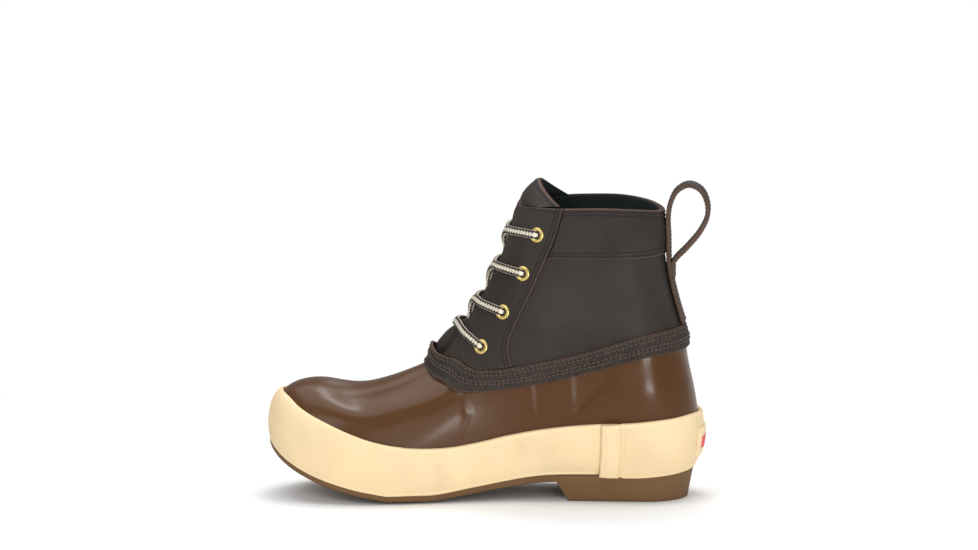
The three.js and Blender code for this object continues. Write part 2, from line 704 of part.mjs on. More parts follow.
function heelPlate() {
  const middle = plateRise + plateHeight / 2;
  const sideOf = (turn) => -onSkin(turn, levelAt(turn, middle, 0, 0.8), bandThickness).y;
  const half = bisect(0.001, 0.2, (turn) => sideOf(turn) < plateWidth / 2);
  const depth = 2 * clearance + bandThickness;
  return layer({
    turns: Array.from({ length: 9 }, (_, i) => mix(-half, half, i / 8)), rows: 3,
    levelAt: (turn, v) => levelAt(turn, plateRise + plateHeight * v, 0, 0.8),
    from: () => depth, to: () => depth + plateThickness,
  });
}

// Pull loop: a strap up the back seam that turns over into a loop and comes back to itself.
function stripSolid(line, thickness, width) {
  const shape = faces();
  const rings = line.map((p, i) => {
    const a = line[Math.max(i - 1, 0)];
    const b = line[Math.min(i + 1, line.length - 1)];
    const along = new THREE.Vector2(b.x - a.x, b.z - a.z).normalize();
    const [nx, nz] = [(-along.y * thickness) / 2, (along.x * thickness) / 2];
    const corner = (k, y) => new THREE.Vector3(p.x + nx * k, y * width / 2, p.z + nz * k);
    return [corner(1, -1), corner(1, 1), corner(-1, 1), corner(-1, -1)];
  });
  for (let i = 0; i < rings.length - 1; i++) {
    for (let k = 0; k < 4; k++) {
      const m = (k + 1) % 4;
      shape.quad(rings[i][k], rings[i + 1][k], rings[i + 1][m], rings[i][m]);
    }
  }
  shape.quad(...rings[0]);
  shape.quad(...[...rings[rings.length - 1]].reverse());
  const solid = solidFrom(shape.points);
  return solid;
}

function pullLoop() {
  const jointX = skin(0, levelAt(0, loopJoint, 1)).x + clearance + strapThickness / 2;
  const curve = new THREE.CatmullRomCurve3(loopLine.map((row) =>
    new THREE.Vector3(jointX + strapThickness / 2 + row.out * loopDepth, 0, loopJoint + row.up * loopHeight)));
  const bandStart = collarHeight - collarBandHeight;
  const behind = (z) => skin(0, levelAt(0, z, 1)).x + strapThickness / 2 +
    mix(clearance, 2 * clearance + overlayWall, ease(bandStart - 8, bandStart - 2, z));
  const turnedOver = curve.getPoints(30).map((p) =>
    p.z < collarHeight && p.x < jointX + loopDepth / 3
      ? new THREE.Vector3(Math.max(p.x, behind(Math.min(p.z, collarHeight * 0.985))), 0, p.z) : p);
  const foot = rimHeight(0) + randHeight / 2 + 4 * clearance;
  const leg = Array.from({ length: 13 }, (_, i) => {
    const z = mix(foot, loopJoint + 4, i / 12);
    return new THREE.Vector3(behind(z), 0, z);
  });
  return stripSolid(turnedOver, strapThickness, strapWidth).add(stripSolid(leg, strapThickness, strapWidth));
}

// Lacing

function eyeletPlace(side, row) {
  const height = row.high * collarHeight;
  const [front, back] = [throatTurn(side, height), eyestayTurn(side, height)];
  const xAt = (turn) => skin(turn, levelAt(turn, height, 0.6)).x;
  const x = mix(xAt(front), xAt(back), row.across);
  const turn = turnWhere(side, height, (p) => p.x > x);
  const level = levelAt(turn, height, 0.6);
  return { turn, level, height, normal: skinNormal(turn, level), point: skin(turn, level) };
}

const eyeletRadius = eyeletBore / 2 + eyeletBarrelWall;

function eyeletSolid(place) {
  const seat = clearance + overlayWall + clearance;
  const profilePoints = [
    [eyeletBore / 2, -leatherWall],
    [eyeletRadius, -leatherWall],
    [eyeletRadius, seat],
    [eyeletOuter / 2, seat],
    [eyeletOuter / 2 - 0.4, seat + eyeletFlange],
    [eyeletBore / 2 + 0.3, seat + eyeletFlange],
    [eyeletBore / 2, seat + eyeletFlange - 0.3],
  ].map(([r, y]) => new THREE.Vector2(r, y));
  profilePoints.push(profilePoints[0].clone());
  const geometry = new THREE.LatheGeometry(profilePoints, 12);
  return turned(geometry, place);
}

function turned(geometry, place) {
  const matrix = new THREE.Matrix4().compose(
    place.point,
    new THREE.Quaternion().setFromUnitVectors(new THREE.Vector3(0, 1, 0), place.normal),
    new THREE.Vector3(1, 1, 1),
  );
  const flat = geometry.index ? geometry.toNonIndexed() : geometry;
  const position = flat.getAttribute("position");
  const points = Array.from({ length: position.count }, (_, i) =>
    new THREE.Vector3().fromBufferAttribute(position, i).applyMatrix4(matrix));
  return solidFrom(points);
}

const holeCutter = (place) =>
  turned(new THREE.CylinderGeometry(eyeletRadius + clearance, eyeletRadius + clearance, 12, 12), place);

const laceDepth = clearance * 2 + overlayWall + laceDiameter / 2;

// A point over the boot at a height, part of the way across the throat: -1 the inner edge, 1 the outer edge.
function overThroat(across, height, out) {
  const turn = mix(throatTurn(-1, height), throatTurn(1, height), (across + 1) / 2);
  return onSkin(turn, levelAt(turn, height, 0.6), out);
}

function laceRun(points) {
  const curve = new THREE.CatmullRomCurve3(points);
  const section = new THREE.Shape(Array.from({ length: 8 }, (_, i) => new THREE.Vector2(
    Math.cos((i * Math.PI) / 4), Math.sin((i * Math.PI) / 4)).multiplyScalar(laceDiameter / 2)));
  const geometry = new THREE.ExtrudeGeometry(section, { steps: 13, extrudePath: curve, bevelEnabled: false });
  const position = geometry.getAttribute("position");
  return solidFrom(Array.from({ length: position.count }, (_, i) =>
    new THREE.Vector3().fromBufferAttribute(position, i)));
}

// From the outside of one eyelet to the eyestay's front edge, rising on the way.
function overEdge(side, row, rise) {
  const place = eyeletPlace(side, row);
  const mouth = place.point.clone().addScaledVector(place.normal, laceDepth + eyeletFlange + clearance * 2);
  const height = place.height + rise * 0.5;
  const turn = mix(place.turn, throatTurn(side, height), 0.42);
  return [mouth, onSkin(turn, levelAt(turn, height, 0.6), laceDepth + eyeletFlange + laceLift)];
}

function laceBar(row) {
  const height = row.high * collarHeight;
  const [a, b] = [overEdge(-1, row, barRise), overEdge(1, row, barRise)];
  const over = [-0.95, 0, 0.95].map((k) =>
    overThroat(k, height + barRise, laceDepth));
  return laceRun([...a, ...over, b[1], b[0]]);
}

function laceCross(lower, upper) {
  const [high, low] = [upper.high * collarHeight, lower.high * collarHeight];
  const strand = (side) => laceRun([
    ...overEdge(side, upper, 1),
    overThroat(side * 0.97, mix(high, low, upper.dip * 0.12), laceDepth),
    overThroat(side * 0.5, mix(high, low, upper.dip * 0.55), laceDepth * 0.75),
    overThroat(-side * 0.2, mix(high, low, upper.dip), laceDepth * 0.4),
  ]);
  return strand(-1).add(strand(1));
}

// Assembly

const boot = new THREE.Group();
boot.name = "lace_up_boot";
const put = (name, solid, material) => boot.add(meshFrom(name, solid, material));

const eyelets = [-1, 1].flatMap((side) => eyeletRows.map((row) => ({
  side, name: `eyelet_${side < 0 ? "inner" : "outer"}_${row.name}`, place: eyeletPlace(side, row),
})));
const pierced = (solid, side) => eyelets.filter((e) => side === 0 || e.side === side)
  .reduce((rest, e) => rest.subtract(holeCutter(e.place)), solid);

put("outsole", outsole(), materials.tread);
put("insole", insole(), materials.lining);
put("rubber_lower", rubberLower(), materials.rubber);
put("toe_band", toeBand(), materials.cream);
put("heel_band", heelBand(), materials.cream);
put("heel_plate", heelPlate(), materials.cream);
put("leather_upper", pierced(leatherUpper(), 0), materials.leather);
put("rand", rand(), materials.leather);
put("eyestay_inner", pierced(eyestay(-1), -1), materials.leather);
put("eyestay_outer", pierced(eyestay(1), 1), materials.leather);
put("collar_band", collarBand(), materials.leather);
put("tongue", tongue(), materials.leather);
put("pull_loop", pullLoop(), materials.leather);
for (const eyelet of eyelets) put(eyelet.name, eyeletSolid(eyelet.place), materials.brass);
put("lace_bar", laceBar(eyeletRows[0]), materials.lace);
eyeletRows.slice(1).forEach((row, i) => put(`lace_cross_${i + 1}`, laceCross(eyeletRows[i], row), materials.lace));

export default boot;
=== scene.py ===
import math

import bpy
import numpy as np
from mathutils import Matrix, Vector


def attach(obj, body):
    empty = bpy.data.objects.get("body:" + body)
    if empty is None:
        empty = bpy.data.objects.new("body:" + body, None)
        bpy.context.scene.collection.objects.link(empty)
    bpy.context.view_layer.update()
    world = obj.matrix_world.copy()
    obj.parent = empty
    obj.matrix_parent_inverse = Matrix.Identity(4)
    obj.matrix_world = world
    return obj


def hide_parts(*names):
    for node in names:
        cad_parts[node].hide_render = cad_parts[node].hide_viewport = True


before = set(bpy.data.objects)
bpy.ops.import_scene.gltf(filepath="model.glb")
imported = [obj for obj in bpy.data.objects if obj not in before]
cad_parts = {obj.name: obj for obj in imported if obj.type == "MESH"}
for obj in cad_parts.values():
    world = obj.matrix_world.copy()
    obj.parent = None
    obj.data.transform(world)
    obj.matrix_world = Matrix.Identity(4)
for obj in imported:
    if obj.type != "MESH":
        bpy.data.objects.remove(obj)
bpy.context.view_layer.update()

# The boot is drawn in millimetres along turns (0 heel, 0.5 toe, inner side first) and levels
# (0 sole edge, 1 rubber's rim, 2 collar), and made in metres.
boot = {
    "soleLength": 305, "ballWidth": 112, "heelWidth": 79, "heelSetback": 54, "heelHeight": 14.7, "toeSpring": 36,
    "instepHeight": 97, "collarHeight": 203, "ankleWidth": 74, "collarWidth": 75, "soleThickness": 6,
    "bandThickness": 3.2, "rubberWall": 2.4, "leatherWall": 2.2, "clearance": 0.3, "overlayWall": 1.5,
    "throatWidth": 23, "throatFoot": 29, "heelRound": 0.5, "toeRound": 0.72,
    "toeDip": 0.042, "toeDipAt": 0.79, "toeDipLength": 0.075,
}
planTable = {
    "at": (0, 0.15, 0.3, 0.42, 0.55, 0.66, 0.74, 0.86, 1),
    "heel": (0.5, 0.5, 0.36, 0.18, 0.06, 0, 0, 0, 0),
    "ball": (0, 0, 0.095, 0.23, 0.385, 0.49, 0.5, 0.49, 0.47),
    "shift": (0, 0, 0.015, 0.03, 0.03, 0.015, -0.01, -0.04, -0.065),
}
profileTable = {
    "at": (0, 0.02, 0.05, 0.09, 0.154, 0.26, 0.367, 0.46, 0.52, 0.58, 0.6, 0.62, 0.66, 0.7, 0.715, 0.74, 0.79,
           0.866, 0.918, 0.957, 0.985, 1),
    "heel": (1.2, 1.09, 1, 0.92, 0.83, 0.9, 0.82, 0.53, 0.31, 0.085, 0.03, 0, 0, 0, 0, 0, 0, 0, 0, 0, 0, 0),
    "toe": (0, 0, 0, 0, 0, 0, 0, 0, 0, 0, 0, 0, 0, 0, 0, 0.04, 0.13, 0.317, 0.497, 0.675, 0.86, 1),
    "band": (0.624, 0.63, 0.622, 0.61, 0.593, 0.572, 0.538, 0.49, 0.45, 0.42, 0.414, 0.41, 0.408, 0.412, 0.417,
             0.427, 0.462, 0.54, 0.605, 0.668, 0.725, 0.75),
}
wallTable = {
    "at": (0, 0.1, 0.3, 0.5, 0.7, 0.85, 1),
    "tuck": (0.05, 0.045, 0.02, 0.015, 0.015, 0.01, 0),
    "flare": (0.135, 0.105, 0.06, 0.05, 0.045, 0.035, 0.05),
    "rise": (0.33, 0.35, 0.32, 0.34, 0.48, 0.6, 0.735),
    "reach": (0.05, 0.05, 0.12, 0.22, 0.34, 0.46, 0.49),
    "drop": (0.28, 0.28, 0.24, 0.22, 0.2, 0.24, 0.305),
}
rimRing = {
    "back": 12.5, "front": 192.5, "crowd": 0.62, "width": 74, "backRound": 0.45, "frontRound": 0.56, "shift": 0.02,
    "size": 97, "at": (0, 0.15, 0.37, 0.57, 0.7, 0.78, 0.86, 0.93, 0.983, 1),
    "high": (1.175, 1.14, 1.026, 0.938, 0.895, 0.88, 0.868, 0.87, 0.915, 0.963),
}
collarRing = {
    "back": 29.5, "front": 132, "crowd": 0.7, "width": 75, "backRound": 0.5, "frontRound": 0.6, "shift": 0,
    "size": 203, "at": (0, 0.12, 0.35, 0.75, 1), "high": (0.998, 1.012, 1.022, 1.018, 1.014),
}
shaftTable = {"at": (0, 0.5, 1), "pull": (1, 0.7, 0.85)}
eyestayTable = {
    "at": (0.44, 0.5, 0.565, 0.645, 0.74, 0.83, 0.9, 1),
    "back": (0.422, 0.434, 0.437, 0.416, 0.385, 0.358, 0.337, 0.318),
}
eyeletRows = [
    {"high": 0.535, "across": 0.51, "dip": 0.0, "rise": 0}, {"high": 0.657, "across": 0.62, "dip": 0.34, "rise": 7.5},
    {"high": 0.792, "across": 0.63, "dip": 0.52, "rise": 4.5}, {"high": 0.926, "across": 0.6, "dip": 0.5, "rise": 1},
]


def mix(a, b, t):
    return a + (b - a) * t


def ease(a, b, x):
    t = np.clip((np.asarray(x, float) - a) / (b - a), 0, 1)
    return t * t * (3 - 2 * t)


def readTable(table, column, at):
    x, y = np.array(table["at"], float), np.array(table[column], float)
    slopes = np.empty(len(x))
    slopes[1:-1] = (y[2:] - y[:-2]) / (x[2:] - x[:-2])
    slopes[0], slopes[-1] = (y[1] - y[0]) / (x[1] - x[0]), (y[-1] - y[-2]) / (x[-1] - x[-2])
    i = np.clip(np.searchsorted(x, at, side="left") - 1, 0, len(x) - 2)
    d = x[i + 1] - x[i]
    t = np.clip((at - x[i]) / d, 0, 1)
    t2, t3 = t * t, t * t * t
    ends = y[i] * (2 * t3 - 3 * t2 + 1) + y[i + 1] * (3 * t2 - 2 * t3)
    return ends + slopes[i] * d * (t3 - 2 * t2 + t) + slopes[i + 1] * d * (t3 - t2)


def roundEnd(q, power):  # 0 at an end, 1 from its rounding's length inward
    inside = np.clip(1 - np.maximum(q, 0), 0, 1)
    return (1 - inside ** power) ** (1 / power)


def spoke(turn):  # a turn's side (-1 inner, 1 outer) and its share of the length
    part = np.mod(turn, 1)
    side = np.where(part <= 0.5, -1.0, 1.0)
    half = np.where(part <= 0.5, part * 2, 2 - part * 2)
    return side, (1 - np.cos(math.pi * half)) / 2


def shareTurn(share):
    return math.acos(1 - 2 * share) / (2 * math.pi)


def planHalf(at):
    return readTable(planTable, "heel", at) * boot["heelWidth"] + readTable(planTable, "ball", at) * boot["ballWidth"]


def outline(turn, inset):  # the sole's plan, an inset inside its edge
    side, share = spoke(turn)
    length = boot["soleLength"] - 2 * inset
    s = inset + length * share
    at = s / boot["soleLength"]
    half = planHalf(at)
    back = roundEnd((s - inset) / (boot["heelRound"] * boot["heelWidth"] - inset), 2.1)
    front = roundEnd((length + inset - s) / (boot["toeRound"] * boot["ballWidth"] - inset), 2.2)
    y = readTable(planTable, "shift", at) * boot["ballWidth"] + side * (half - inset) * back * front
    return boot["heelSetback"] - s, y, at


def treadHeight(at):
    heel = readTable(profileTable, "heel", at) * boot["heelHeight"]
    return np.maximum(heel + readTable(profileTable, "toe", at) * boot["toeSpring"], 0)


def soleTop(at):
    return treadHeight(at) + boot["soleThickness"]


def bandTop(turn):
    return readTable(profileTable, "band", spoke(turn)[1]) * boot["instepHeight"]


def stack(x, y, z):
    return np.stack(np.broadcast_arrays(x, y, z), -1).astype(float)


def ringPoint(ring, turn):
    side, share = spoke(turn)
    t = (1 + ring["crowd"]) * share - ring["crowd"] * share * share
    s = mix(ring["back"], ring["front"], t)
    back = roundEnd((s - ring["back"]) / (ring["backRound"] * ring["width"]), 2)
    front = roundEnd((ring["front"] - s) / (ring["frontRound"] * ring["width"]), 2)
    y = ring["shift"] * ring["width"] + side * ring["width"] * back * front / 2
    return stack(boot["heelSetback"] - s, y, readTable(ring, "high", t) * ring["size"])


def skin(turn, level):  # the boot's outer face without its bands and overlays
    turn, level = np.broadcast_arrays(np.asarray(turn, float), np.asarray(level, float))
    share = spoke(turn)[1]
    rim, collar = ringPoint(rimRing, turn), ringPoint(collarRing, turn)
    pull = readTable(shaftTable, "pull", share)[..., None]
    bend = mix(rim, collar, pull)
    bend[..., 2] = (rim[..., 2] + collar[..., 2]) / 2
    t = np.clip(level - 1, 0, 1.2)[..., None]
    above = rim * (1 - t) ** 2 + bend * 2 * t * (1 - t) + collar * t * t
    wall = {key: readTable(wallTable, key, share) for key in ("tuck", "flare", "rise", "reach", "drop")}
    inset = boot["bandThickness"] + boot["clearance"] + wall["tuck"] * boot["ballWidth"]
    footX, footY, footAt = outline(turn, inset)
    wideX, wideY, _ = outline(turn, inset - wall["flare"] * boot["ballWidth"])
    start = stack(footX, footY, soleTop(footAt) + boot["clearance"])
    up = stack(wideX, wideY, start[..., 2] + wall["rise"] * boot["instepHeight"])
    over = mix(rim, start, wall["reach"][..., None])
    over[..., 2] = rim[..., 2] - wall["drop"] * boot["instepHeight"]
    low = np.clip(level, 0, 1)
    t = low[..., None]
    below = start * (1 - t) ** 3 + up * 3 * t * (1 - t) ** 2 + over * 3 * t * t * (1 - t) + rim * t ** 3
    behindToe = ((boot["heelSetback"] - below[..., 0]) / boot["soleLength"] - boot["toeDipAt"]) / boot["toeDipLength"]
    onTop = ease(0.35, 0.6, low) * (1 - ease(0.85, 1, low)) * ease(0.72, 0.95, share)
    below[..., 2] -= boot["toeDip"] * boot["instepHeight"] * np.exp(-behindToe ** 2) * onTop
    return np.where((level > 1)[..., None], above, below)


def unit(v):
    return v / np.maximum(np.linalg.norm(v, axis=-1, keepdims=True), 1e-9)


def skinNormal(turn, level):
    along = skin(np.asarray(turn) + 0.004, level) - skin(np.asarray(turn) - 0.004, level)
    up = skin(turn, np.asarray(level) + 0.03) - skin(turn, np.maximum(np.asarray(level) - 0.03, 0))
    return unit(np.cross(up, along))


def onSkin(turn, level, out):  # a distance out from the skin, and standing on the sole below
    seated = (1 - ease(0, 0.14, level))[..., None]
    normal = skinNormal(turn, level)
    flat = unit(normal * np.array([1, 1, 0]))
    point = skin(turn, level) + unit(mix(normal, flat, seated)) * np.asarray(out, float)[..., None]
    seat = soleTop((boot["heelSetback"] - point[..., 0]) / boot["soleLength"]) + boot["clearance"]
    point[..., 2] += seated[..., 0] * (seat - skin(turn, 0)[..., 2])
    return point


def bisect(low, high, holds):
    for _ in range(22):
        middle = (low + high) / 2
        test = holds(middle)
        low, high = np.where(test, middle, low), np.where(test, high, middle)
    return (low + high) / 2


def levelAt(turn, height, low=0.0, high=2.0):
    turn, height = np.broadcast_arrays(np.asarray(turn, float), np.asarray(height, float))
    ends = np.full(turn.shape, low), np.full(turn.shape, high)
    return bisect(ends[0], ends[1], lambda level: skin(turn, level)[..., 2] < height)


def turnWhere(side, height, holds):  # from the heel along one side, the last turn whose point passes the test
    height = np.asarray(height, float)

    def test(part):
        turn = part if side < 0 else 1 - part
        return holds(skin(turn, levelAt(turn, height, 0.6)))

    part = bisect(np.full(height.shape, 0.1), np.full(height.shape, 0.5), test)
    return part if side < 0 else 1 - part


throatCentre = rimRing["shift"] * boot["ankleWidth"]
lineHeights = np.linspace(0.85 * boot["instepHeight"], 1.06 * boot["collarHeight"], 240)


def throatLine(side):
    middle = throatCentre * (1 - ease(boot["instepHeight"], boot["collarHeight"], lineHeights))
    low, high = boot["instepHeight"], boot["instepHeight"] * 1.4
    half = mix(boot["throatFoot"], boot["throatWidth"], ease(low, high, lineHeights)) / 2
    return turnWhere(side, lineHeights, lambda p: (p[..., 1] - middle) * side > half)


def eyestayLine(side):
    share = readTable(eyestayTable, "back", lineHeights / boot["collarHeight"])
    x = boot["heelSetback"] - share * boot["soleLength"]
    return turnWhere(side, lineHeights, lambda p: p[..., 0] > x)


throatLines = {side: throatLine(side) for side in (-1, 1)}
eyestayLines = {side: eyestayLine(side) for side in (-1, 1)}


def throatTurn(side, height):
    return np.interp(height, lineHeights, throatLines[side])


def eyestayTurn(side, height):
    return np.interp(height, lineHeights, eyestayLines[side])


def placeOn(side, along, high):  # a turn and level, by share of the sole's length and of the instep's height
    height, x = high * boot["instepHeight"], boot["heelSetback"] - along * boot["soleLength"]
    turn = turnWhere(side, height, lambda p: p[..., 0] > x)
    return turn, levelAt(turn, height)


# Meshes

def spaced(count, edge, fine=4):  # 0 to 1, with extra rows near both ends
    ends = edge * (np.arange(fine) / fine) ** 1.5
    return np.concatenate([ends, np.linspace(edge, 1 - edge, count), (1 - ends)[::-1]])


def rounded(gap, radius):  # 0 on an edge, 1 from its rounding's radius inward
    q = np.clip(gap / radius, 0, 1)
    return np.sqrt(1 - (1 - q) ** 2)


def pathLength(points, axis=0):  # distance along a line of points, or along one axis of a grid of them
    steps = np.linalg.norm(np.diff(points, axis=axis), axis=-1)
    return np.concatenate([np.zeros_like(np.take(steps, [0], axis)), np.cumsum(steps, axis)], axis)


def gridFaces(columns, rows, closed):  # quads of a grid whose rows are closed, and its columns too if asked
    i, j = np.meshgrid(np.arange(columns if closed else columns - 1), np.arange(rows), indexing="ij")
    i, j = i.ravel(), j.ravel()
    nextI, nextJ = (i + 1) % columns, (j + 1) % rows
    return np.stack([i * rows + j, nextI * rows + j, nextI * rows + nextJ, i * rows + nextJ], -1)


def addPiece(name, vertices, faces, slots, materials, uv=None, edge=None):
    mesh = bpy.data.meshes.new(name)
    mesh.from_pydata((np.asarray(vertices) * 0.001).tolist(), [], faces.tolist())
    for material in materials:
        mesh.materials.append(material)
    mesh.polygons.foreach_set("material_index", slots)
    mesh.polygons.foreach_set("use_smooth", np.ones(len(faces), bool))
    if uv is not None:
        layer = mesh.uv_layers.new(name="UVMap")
        layer.data.foreach_set("uv", np.asarray(uv, np.float32).ravel())
    if edge is not None:
        values = np.asarray(edge, np.float32).ravel()
        mesh.attributes.new("edge", "FLOAT", "POINT").data.foreach_set("value", values)
    mesh.update()
    piece = bpy.data.objects.new(name, mesh)
    bpy.context.scene.collection.objects.link(piece)
    return piece


def shell(name, outer, inner, materials, closed=False, edge=None):
    # A wall between two grids of points. Materials: outer face, rims, inner face. The UV map is in millimetres.
    nu, nv = outer.shape[:2]
    u = pathLength(np.concatenate([outer[:, nv // 2], outer[:1, nv // 2]]) if closed else outer[:, nv // 2])
    v = pathLength(outer[nu // 2])
    inside = nu * nv
    columns = nu if closed else nu - 1
    i, j = np.meshgrid(np.arange(columns), np.arange(nv - 1), indexing="ij")
    i, j = i.ravel(), j.ravel()
    faces, uvs, slots = [], [], []

    def add(corners, slot):  # each corner is (column, row, inner face or not)
        index = np.stack([(a % nu) * nv + b + c * inside for a, b, c in corners], -1)
        faces.append(index)
        uvs.append(np.stack([np.stack([u[a], v[b]], -1) for a, b, c in corners], 1))
        slots.append(np.full(len(index), slot))

    add([(i, j, 0), (i, j + 1, 0), (i + 1, j + 1, 0), (i + 1, j, 0)], 0)
    add([(i, j, 1), (i + 1, j, 1), (i + 1, j + 1, 1), (i, j + 1, 1)], 2)
    i, low, top = np.arange(columns), np.zeros(columns, int), np.full(columns, nv - 1)
    add([(i, low, 0), (i + 1, low, 0), (i + 1, low, 1), (i, low, 1)], 1)
    add([(i, top, 0), (i, top, 1), (i + 1, top, 1), (i + 1, top, 0)], 1)
    if not closed:
        j, first, last = np.arange(nv - 1), np.zeros(nv - 1, int), np.full(nv - 1, nu - 1)
        add([(first, j, 0), (first, j, 1), (first, j + 1, 1), (first, j + 1, 0)], 1)
        add([(last, j, 0), (last, j + 1, 0), (last, j + 1, 1), (last, j, 1)], 1)
    vertices = np.concatenate([outer.reshape(-1, 3), inner.reshape(-1, 3)])
    gap = np.full((nu, nv), 99.0) if edge is None else edge
    return addPiece(name, vertices, np.concatenate(faces), np.concatenate(slots), materials,
                    np.concatenate(uvs).reshape(-1, 2), np.concatenate([gap.ravel(), gap.ravel()]))


def edgeGaps(points, closed=False):  # distance of each point of a grid from the grid's free edges
    low = pathLength(points, 1)
    gap = np.minimum(low, low[:, -1:] - low)
    if not closed:
        first = pathLength(points)
        gap = np.minimum(gap, np.minimum(first, first[-1:] - first))
    return gap


def waves(points, size, seed):  # slow uneven waves, -1 to 1
    turns = np.array([[1, 0.3, 0.2], [-0.4, 1, 0.5], [0.2, -0.6, 1], [0.7, 0.7, -0.4], [-0.8, 0.2, 0.9]])
    total = 0
    for k, direction in enumerate(turns):
        total = total + np.sin((points @ direction) * (1 + 0.27 * k) * 2 * math.pi / size + seed * 1.7 + k * 2.1)
    return total / len(turns)


def foldLines(table):  # the two ends of each listed crease, with its width and depth
    ends = []
    for side in (-1, 1):
        rows = [row for row in table if row["side"] == side]
        spots = np.array([row["start"] for row in rows] + [row["end"] for row in rows])
        points = skin(*placeOn(side, spots[:, 0], spots[:, 1]))
        ends += [(points[k], points[k + len(rows)], row["width"], row["depth"]) for k, row in enumerate(rows)]
    return ends


def folds(points, lines):  # soft troughs and ridges along those lines
    total = np.zeros(points.shape[:-1])
    for start, end, width, depth in lines:
        line = end - start
        length = np.linalg.norm(line)
        t = ((points - start) @ line) / length ** 2
        past = np.maximum(np.abs(t - 0.5) - 0.5, 0) * length
        away = np.linalg.norm(points - (start + t[..., None] * line), axis=-1)
        total += depth * np.exp(-(away / width) ** 2 - (past / (width + 0.12 * length)) ** 2)
    return total


# Materials

def newMaterial(name, color, roughness, **sockets):
    material = bpy.data.materials.new(name)
    material.use_nodes = True
    shader = material.node_tree.nodes["Principled BSDF"]
    shader.inputs["Base Color"].default_value = (*color, 1)
    shader.inputs["Roughness"].default_value = roughness
    for key, value in sockets.items():
        shader.inputs[key.replace("_", " ")].default_value = value
    return material, material.node_tree, shader


def node(tree, kind, links=None, **values):
    made = tree.nodes.new(kind)
    for key, value in values.items():
        if hasattr(made, key):
            setattr(made, key, value)
        else:
            made.inputs[key.replace("_", " ")].default_value = value
    for key, source in (links or {}).items():
        tree.links.new(source, made.inputs[key])
    return made


def spots(tree, where, scale, detail=3.0, rough=0.55):
    made = node(tree, "ShaderNodeTexNoise", {"Vector": where}, Scale=scale, Detail=detail, Roughness=rough)
    return made.outputs["Fac"]


def ramp(tree, value, low, high, toLow=0.0, toHigh=1.0):
    made = node(tree, "ShaderNodeMapRange", {"Value": value})
    for key, number in (("From Min", low), ("From Max", high), ("To Min", toLow), ("To Max", toHigh)):
        made.inputs[key].default_value = number
    return made.outputs["Result"]


def math2(tree, operation, a, b):
    made = tree.nodes.new("ShaderNodeMath")
    made.operation = operation
    for socket, value in zip(made.inputs, (a, b)):
        if isinstance(value, (int, float)):
            socket.default_value = value
        else:
            tree.links.new(value, socket)
    return made.outputs[0]


def tint(tree, amount, a, b):  # a and b are colours or sockets
    made = tree.nodes.new("ShaderNodeMix")
    made.data_type = "RGBA"
    tree.links.new(amount, made.inputs[0])
    for socket, value in ((made.inputs[6], a), (made.inputs[7], b)):
        if isinstance(value, tuple):
            socket.default_value = (*value, 1)
        else:
            tree.links.new(value, socket)
    return made.outputs[2]


def bump(tree, shader, height, distance, strength=1.0, before=None):
    links = {"Height": height}
    if before is not None:
        links["Normal"] = before
    made = node(tree, "ShaderNodeBump", links, Distance=distance * 0.001, Strength=strength)
    tree.links.new(made.outputs[0], shader.inputs["Normal"])
    return made.outputs[0]


def objectPlace(tree):
    return tree.nodes.new("ShaderNodeTexCoord").outputs["Object"]


def uvPlace(tree):  # a piece's own map: along it and across it
    uv = node(tree, "ShaderNodeUVMap", uv_map="UVMap")
    split = node(tree, "ShaderNodeSeparateXYZ", {"Vector": uv.outputs[0]})
    return split.outputs[0], split.outputs[1]


def edgePlace(tree):  # millimetres from a piece's free edge
    return node(tree, "ShaderNodeAttribute", attribute_name="edge").outputs["Fac"]


def makeRubber(name, color, dusty, settings):
    material, tree, shader = newMaterial(name, color, settings["rough"], Coat_Weight=settings["coat"],
                                         Coat_Roughness=settings["coatRough"], Specular_IOR_Level=settings["shine"])
    place = objectPlace(tree)
    cloud, fine = spots(tree, place, settings["cloud"]), spots(tree, place, settings["fine"], 6)
    tree.links.new(tint(tree, ramp(tree, cloud, 0.1, 0.9), color, dusty), shader.inputs["Base Color"])
    rough = ramp(tree, cloud, 0.1, 0.9, settings["rough"] - settings["roughSpread"],
                 settings["rough"] + settings["roughSpread"])
    tree.links.new(rough, shader.inputs["Roughness"])
    bump(tree, shader, fine, settings["bump"])
    return material


def makeBandRubber(settings):
    material, tree, shader = newMaterial("creamRubber", settings["color"], settings["rough"],
                                         Specular_IOR_Level=0.2)
    along, across = uvPlace(tree)
    place = objectPlace(tree)
    diamonds = None
    for slope in (1, -1):  # two sets of fine diagonal lines make the diamonds
        line = math2(tree, "ADD", along, math2(tree, "MULTIPLY", across, slope * settings["slope"]))
        wave = math2(tree, "SINE", math2(tree, "MULTIPLY", line, 2 * math.pi / settings["pitch"]), 0)
        diamonds = wave if diamonds is None else math2(tree, "MULTIPLY", diamonds, wave)
    patch = ramp(tree, spots(tree, place, 30, 3), 0.3, 0.7, 0.3, 1)
    weave = math2(tree, "MULTIPLY", diamonds, patch)
    edge = edgePlace(tree)
    weave = math2(tree, "MULTIPLY", weave, ramp(tree, edge, 2.2, 3.2))  # the lips are plain
    cloud = spots(tree, place, 22, 4)
    color = tint(tree, ramp(tree, cloud, 0.2, 0.8), settings["color"], settings["warm"])
    color = tint(tree, ramp(tree, weave, -1, 1, 0.0, settings["printShade"]), color, settings["shade"])
    grime = math2(tree, "MULTIPLY", ramp(tree, edge, 1.6, 0.2), ramp(tree, spots(tree, place, 90, 5), 0.4, 0.75))
    color = tint(tree, math2(tree, "MULTIPLY", grime, settings["grime"]), color, settings["dirt"])
    tree.links.new(color, shader.inputs["Base Color"])
    before = bump(tree, shader, spots(tree, place, 900, 3), 0.06)
    bump(tree, shader, weave, settings["printDepth"], 1.0, before)
    return material


